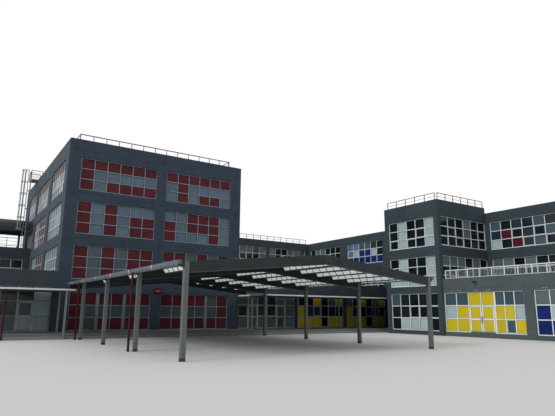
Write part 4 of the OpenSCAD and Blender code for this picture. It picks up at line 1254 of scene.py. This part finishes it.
@dataclass(frozen=True)
class Edges:
    """Parapet flashings, walkway fascias, step nosings and the covers and bars of the railings.

    The flashings keep within the limits: left, front, right and rear. The terrace's railings run
    along the lines west and south, and the rail's levels are heights above the terrace's parapet.
    """

    wall: float = 350.0
    thick: float = 18.0
    lip: float = 10.0
    sheet: float = 2500.0
    limits: tuple[float, float, float, float] = (-14350.0, -36700.0, 34350.0, 11000.0)
    terrace: float = 4500.0
    west: float = 20075.0
    south: float = -36525.0
    cover: float = 31.0
    rail: tuple[float, float] = (644.0, 706.0)
    bar_pitch: float = 110.0
    nosings: tuple[tuple[float, float], ...] = ((-15406.0, 140.0), (-15056.0, 305.0))

    PARAPETS = (("block", -7350, -11000, 7350, 11000, 14520, "fblr"),
                ("low", -14350, -11000, -7360, 4350, 4500, "fl"),
                ("low", -14350, 4000, -7360, 11000, 7590, "fbl"),
                ("low", 7360, -10350, 26350, 4350, 4500, "f"),
                ("wing", 7360, 4000, 26350, 11000, 10700, "fb"),
                ("wing", 26350, -36700, 34350, 11000, 10700, "fblr"),
                ("wing", 19700, -22650, 26350, -16600, 11200, "fbl"),
                ("low", 19900, -36700, 26350, -22300, 4500, "fl"))

    def strip(self, mesher: Mesher, x0: float, y0: float, x1: float, y1: float, top: float) -> None:
        """Adds flashing sheets along one parapet, lapped with open joints.

        Args:
            mesher: The piece to add to.
            x0: Left edge of the parapet.
            y0: Front edge.
            x1: Right edge.
            y1: Rear edge.
            top: Top of the parapet.
        """
        left, front, right, rear = self.limits
        low = [max(x0 - self.lip, left), max(y0 - self.lip, front), top]
        high = [min(x1 + self.lip, right), min(y1 + self.lip, rear), top + self.thick]
        axis = 0 if x1 - x0 > y1 - y0 else 1
        start, end = ((x0, x1), (y0, y1))[axis]
        count = max(1, round((end - start) / self.sheet))
        for low[axis], high[axis] in spans(start, end, count, 4):
            mesher.box(low, high, 4)

    def flashings(self) -> None:
        """Adds the flashings of the front, back, left and right sides of the parapets."""
        meshers = {kind: Mesher() for kind in ("block", "low", "wing")}
        for kind, x0, y0, x1, y1, top, sides in self.PARAPETS:
            inner = (x0 + self.wall, y0 + self.wall, x1 - self.wall, y1 - self.wall)
            strips = {"f": (x0, y0, x1, inner[1]), "b": (x0, inner[3], x1, y1),
                      "l": (x0, inner[1], inner[0], inner[3]), "r": (inner[2], inner[1], x1, inner[3])}
            for side in sides:
                self.strip(meshers[kind], *strips[side], top)
        for kind, mesher in meshers.items():
            mesher.build(f"{kind}_flashing", FLASHING, "slab_concrete")

    def fascias(self) -> None:
        """Adds the pale fascias of the walkway roofs and the nosings of the walk and its step."""
        fascia, nosing = Mesher(), Mesher()
        for left, right, front, low in ((-14350, -7000, -15600, 2990), (7400, 26300, -15400, 3060)):
            for start, end in spans(left, right, round((right - left) / self.sheet), 6):
                fascia.box((start, front - 14, low - 8), (end, front, low + 96), 3)
        fascia.box((-7000, -15600, 2982), (-6986, -11010, 3086), 3)
        fascia.box((7386, -15400, 3052), (7400, -10370, 3156), 3)
        for start, end in spans(-14350, 26350, 16, 4):
            for front, low in self.nosings:
                nosing.box((start, front, low), (end, front + 46, low + 28), 3)
        fascia.build("walkway_fascias", WHITE, "gutter")
        nosing.build("step_nosings", Coated("step nosings", srgb(150, 151, 148), 0.6, spread=0.05),
                     "slab_concrete")

    def rails(self) -> None:
        """Adds covers, thin bars and a base rail to the terrace railing, and covers to the block's."""
        bars, base, covers, dark = (Mesher() for _ in range(4))
        x, y, top, half = self.west, self.south, self.terrace, self.cover
        low, high = (top + level for level in self.rail)
        for i in range(14):
            foot = -36404 + 13550 * i / 13
            covers.box((x - half + 2, foot, top + 2), (x + half - 2, foot + 58, low + 6))
        covers.box((x - half, -36404, low), (x + half, -22796, high), 3)
        covers.box((20196, y - half, low), (26204, y + half, high), 3)
        for front in (-10208, 10142):
            dark.box((-6558, front, 15172), (6558, front + 66, 15238), 4)
        spots = [(x, -36300 + i * self.bar_pitch) for i in range(123)]
        spots += [(20260 + i * self.bar_pitch, y) for i in range(54)]
        for spot in spots:
            bars.post(*spot, top + 60, low + 11, 7, 6)
        base.box((x - half + 1, -36390, top + 28), (x + half - 1, -22810, top + 70), 3)
        base.box((20210, y - half + 1, top + 28), (26190, y + half - 1, top + 70), 3)
        covers.build("terrace_rail_covers", WHITE_BARS, "galvanised")
        dark.build("block_rail_covers", NODE_FINISH["railings"], "galvanised")
        bars.build("terrace_rail_bars", WHITE, "galvanised", smooth=True)
        base.build("terrace_rail_base", WHITE, "galvanised")

    def dress(self) -> None:
        """Adds all edges."""
        self.flashings()
        self.fascias()
        self.rails()


# Things on the walls


@dataclass(frozen=True)
class Clock:
    """A digital clock on the pier between the block's two bays, with its middle at x and z."""

    x: float = 60.0
    y: float = -11000.0
    z: float = 3310.0
    width: float = 560.0
    height: float = 330.0
    depth: float = 90.0
    digits: str = "1025"
    wide: float = 62.0
    high: float = 75.0
    bar: float = 15.0

    NUMBERS = {"0": "abcdef", "1": "bc", "2": "abged", "5": "afgcd"}
    BARS = {"a": (0, 2, 1, 0), "b": (1, 1, 0, 1), "c": (1, 0, 0, 1), "d": (0, 0, 1, 0),
            "e": (0, 0, 0, 1), "f": (0, 1, 0, 1), "g": (0, 1, 1, 0)}

    def digit(self, mesher: Mesher, x: float, z: float, number: str) -> None:
        """Adds one number made of bars, each with its column, row, run and rise in BARS."""
        face = self.y - self.depth
        for name in self.NUMBERS[number]:
            column, row, run, rise = self.BARS[name]
            left, low = x + column * self.wide, z + row * self.high
            inset_x, inset_z = (self.bar * (0.1 if along else -0.5) for along in (run, rise))
            mesher.box((left + inset_x, face - 6, low + inset_z),
                       (left + run * self.wide - inset_x, face, low + rise * self.high - inset_z))

    def dress(self) -> None:
        """Adds the case, its hood and the numbers."""
        case, hood, numbers = Mesher(), Mesher(), Mesher()
        left, low, face = self.x - self.width / 2, self.z - self.height / 2, self.y - self.depth
        right, top = left + self.width, low + self.height
        case.box((left, face, low), (right, self.y, top), 8)
        hood.box((left - 12, face - 50, top), (right + 12, self.y, top + 12), 3)
        for number, start in zip(self.digits, (60, 172, 308, 420)):
            self.digit(numbers, left + start, low + 90, number)
        for z in (low + 130, low + 200):
            numbers.box((self.x - 9, face - 6, z - 9), (self.x + 9, face, z + 9))
        case.build("clock_case", DARK, "dark_beam")
        hood.build("clock_hood", DARK, "dark_beam")
        numbers.build("clock_numbers", Sheet("clock red", srgb(215, 32, 44), 0.5, glow=0.9), "red_panel")


@dataclass(frozen=True)
class WallThings:
    """Small fixtures on the outer walls."""

    lamp_heights: tuple[float, ...] = (13860.0, 10250.0, 6910.0)
    lamp_lines: tuple[float, ...] = (-6930.0, 50.0, 6930.0)
    lamp_face: float = -11000.0
    lamp_half: float = 65.0
    lens_half: float = 45.0
    spot_lines: tuple[float, ...] = (-23400.0, -24180.0, -25640.0, -26670.0, -30970.0)
    spot_face: float = 19900.0

    def lamps(self) -> None:
        """Adds the square lamps on the block's front piers."""
        cases, lenses = Mesher(), Mesher()
        for x, z in product(self.lamp_lines, self.lamp_heights):
            for mesher, half, start, end, chamfer in ((cases, self.lamp_half, 75, 0, 10),
                                                      (lenses, self.lens_half, 80, 74, 3)):
                mesher.box((x - half, self.lamp_face - start, z - half),
                           (x + half, self.lamp_face - end, z + half), chamfer)
        cases.build("pier_lamps", DARK, "dark_beam")
        lenses.build("pier_lamp_lenses", Coated("smoked lenses", srgb(58, 64, 68), 0.2, gloss=0.5),
                     "dark_beam")

    def spots(self) -> None:
        """Adds pairs of pale caps over the terrace windows, and the floodlight on its arm."""
        caps, lamp, face = Mesher(), Mesher(), self.spot_face
        for y, side in product(self.spot_lines, SIDES):
            caps.rod((face, y + side * 100, 3520), (face - 16, y + side * 100, 3520), 26, 20)
        lamp.box((face - 14, -25760, 4060), (face, -25640, 4180), 4)
        lamp.rod((face - 5, -25700, 4120), (face - 260, -25700, 4170), 14, 12)
        lamp.rod((face - 245, -25850, 4168), (face - 245, -25550, 4168), 12, 12)
        lamp.box((face - 330, -25830, 4070), (face - 260, -25570, 4170), 8)
        caps.build("terrace_caps", WHITE, "gutter", smooth=True)
        lamp.build("terrace_floodlight", DARK, "dark_beam", smooth=True)

    def dress(self) -> None:
        """Adds all fixtures."""
        self.lamps()
        self.spots()


# Studio


@dataclass(frozen=True)
class Studio:
    """Camera, light and floor around the building."""

    eye: Triple = (-7.08, -24.695, 0.88)
    yaw: float = math.radians(33.62)
    pitch: float = math.radians(11.78)
    roll: float = math.radians(0.447)
    focal_pixels: float = 498.8
    photo_pixels: float = 555.0
    sensor: float = 36.0
    ambient: float = 0.72
    reach: float = 400.0

    def camera(self) -> None:
        """Adds the camera that took the photograph."""
        level = math.cos(self.pitch)
        ahead = Vector((math.sin(self.yaw) * level, math.cos(self.yaw) * level, math.sin(self.pitch)))
        flat = Vector((math.cos(self.yaw), -math.sin(self.yaw), 0))
        above = flat.cross(ahead)
        right = flat * math.cos(self.roll) + above * math.sin(self.roll)
        up = above * math.cos(self.roll) - flat * math.sin(self.roll)
        view = link("camera", bpy.data.cameras.new("camera"))
        pose = Matrix((right, up, -ahead)).transposed().to_4x4()
        pose.translation = self.eye
        view.matrix_world = pose
        view.data.sensor_width = self.sensor
        view.data.lens = self.focal_pixels / self.photo_pixels * self.sensor
        bpy.context.scene.camera = view

    def sun(self, name: str, direction: Triple, strength: float, angle: float) -> None:
        """Adds a soft sun that shines along a direction."""
        light = bpy.data.lights.new(name, "SUN")
        light.energy = strength
        light.angle = math.radians(angle)
        link(name, light).rotation_euler = Vector(direction).to_track_quat("-Z", "Y").to_euler()

    def world(self) -> None:
        """Adds an even sky that looks white to the camera."""
        sky = bpy.data.worlds.new("studio")
        bpy.context.scene.world = sky
        graph = Graph(sky)
        rays = [graph.node("ShaderNodeLightPath", output=f"Is {kind} Ray") for kind in
                ("Camera", "Glossy", "Transmission")]
        seen = rays[0].math("MAXIMUM", rays[1]).math("MAXIMUM", rays[2])
        level = graph.smooth(seen, 0.0, 1.0, self.ambient, 1.0)
        shade = graph.mix(seen, (0.94, 0.97, 1.0), (1.0, 1.0, 1.0))
        back = graph.node("ShaderNodeBackground", None, {"Color": shade, "Strength": level})
        graph.node("ShaderNodeOutputWorld", None, {"Surface": back})

    def floor(self) -> None:
        """Adds the pale floor."""
        mesh = bpy.data.meshes.new("floor")
        corners = [(x * self.reach, y * self.reach, 0) for x, y in ((-1, -1), (1, -1), (1, 1), (-1, 1))]
        mesh.from_pydata(corners, [], [(0, 1, 2, 3)])
        mesh.materials.append(Finish("floor", (0.62, 0.61, 0.585), 0.8).material())
        plane = link("floor", mesh)

    def build(self) -> None:
        """Sets up the studio."""
        bpy.context.scene.view_settings.view_transform = "Standard"
        self.camera()
        self.world()
        self.sun("key", (0.93, 0.12, -0.55), 1.5, 25)
        self.sun("fill", (-0.35, 0.85, -0.5), 0.3, 60)
        self.floor()


def square_up(mesh: bpy.types.Mesh) -> None:
    """Drops the stored normals of a flat-sided CAD mesh, which tint single triangles."""
    flat = not any(polygon.use_smooth for polygon in mesh.polygons)
    if flat and "custom_normal" in mesh.attributes:
        mesh.attributes.remove(mesh.attributes["custom_normal"])


def dress_nodes() -> None:
    """Gives every CAD node its finish."""
    slots = {row["node"]: row["material_slot"] for row in frame["record"]["subparts"]}
    for name, piece in frame["nodes"].items():
        finish = NODE_FINISH.get(name, SLOT_FINISH[slots[name]])
        piece.data.materials.clear()
        piece.data.materials.append(finish.material())
        square_up(piece.data)
        LOG.info("%s: %s", name, finish.name)


def main() -> None:
    """Builds the scene piece by piece."""
    logging.basicConfig(level=logging.INFO, format="%(name)s %(message)s")
    Studio().build()
    dress_nodes()
    windows = Windows(Openings())
    walls = {wall.name: wall for wall in layout()}
    for wall in walls.values():
        windows.dress(wall)
    for leaf in LEAVES:
        leaf.dress(walls[leaf.wall])
    for part in (Canopy(), Edges(), Clock(), WallThings()):
        part.dress()


if __name__ == "__main__":
    main()
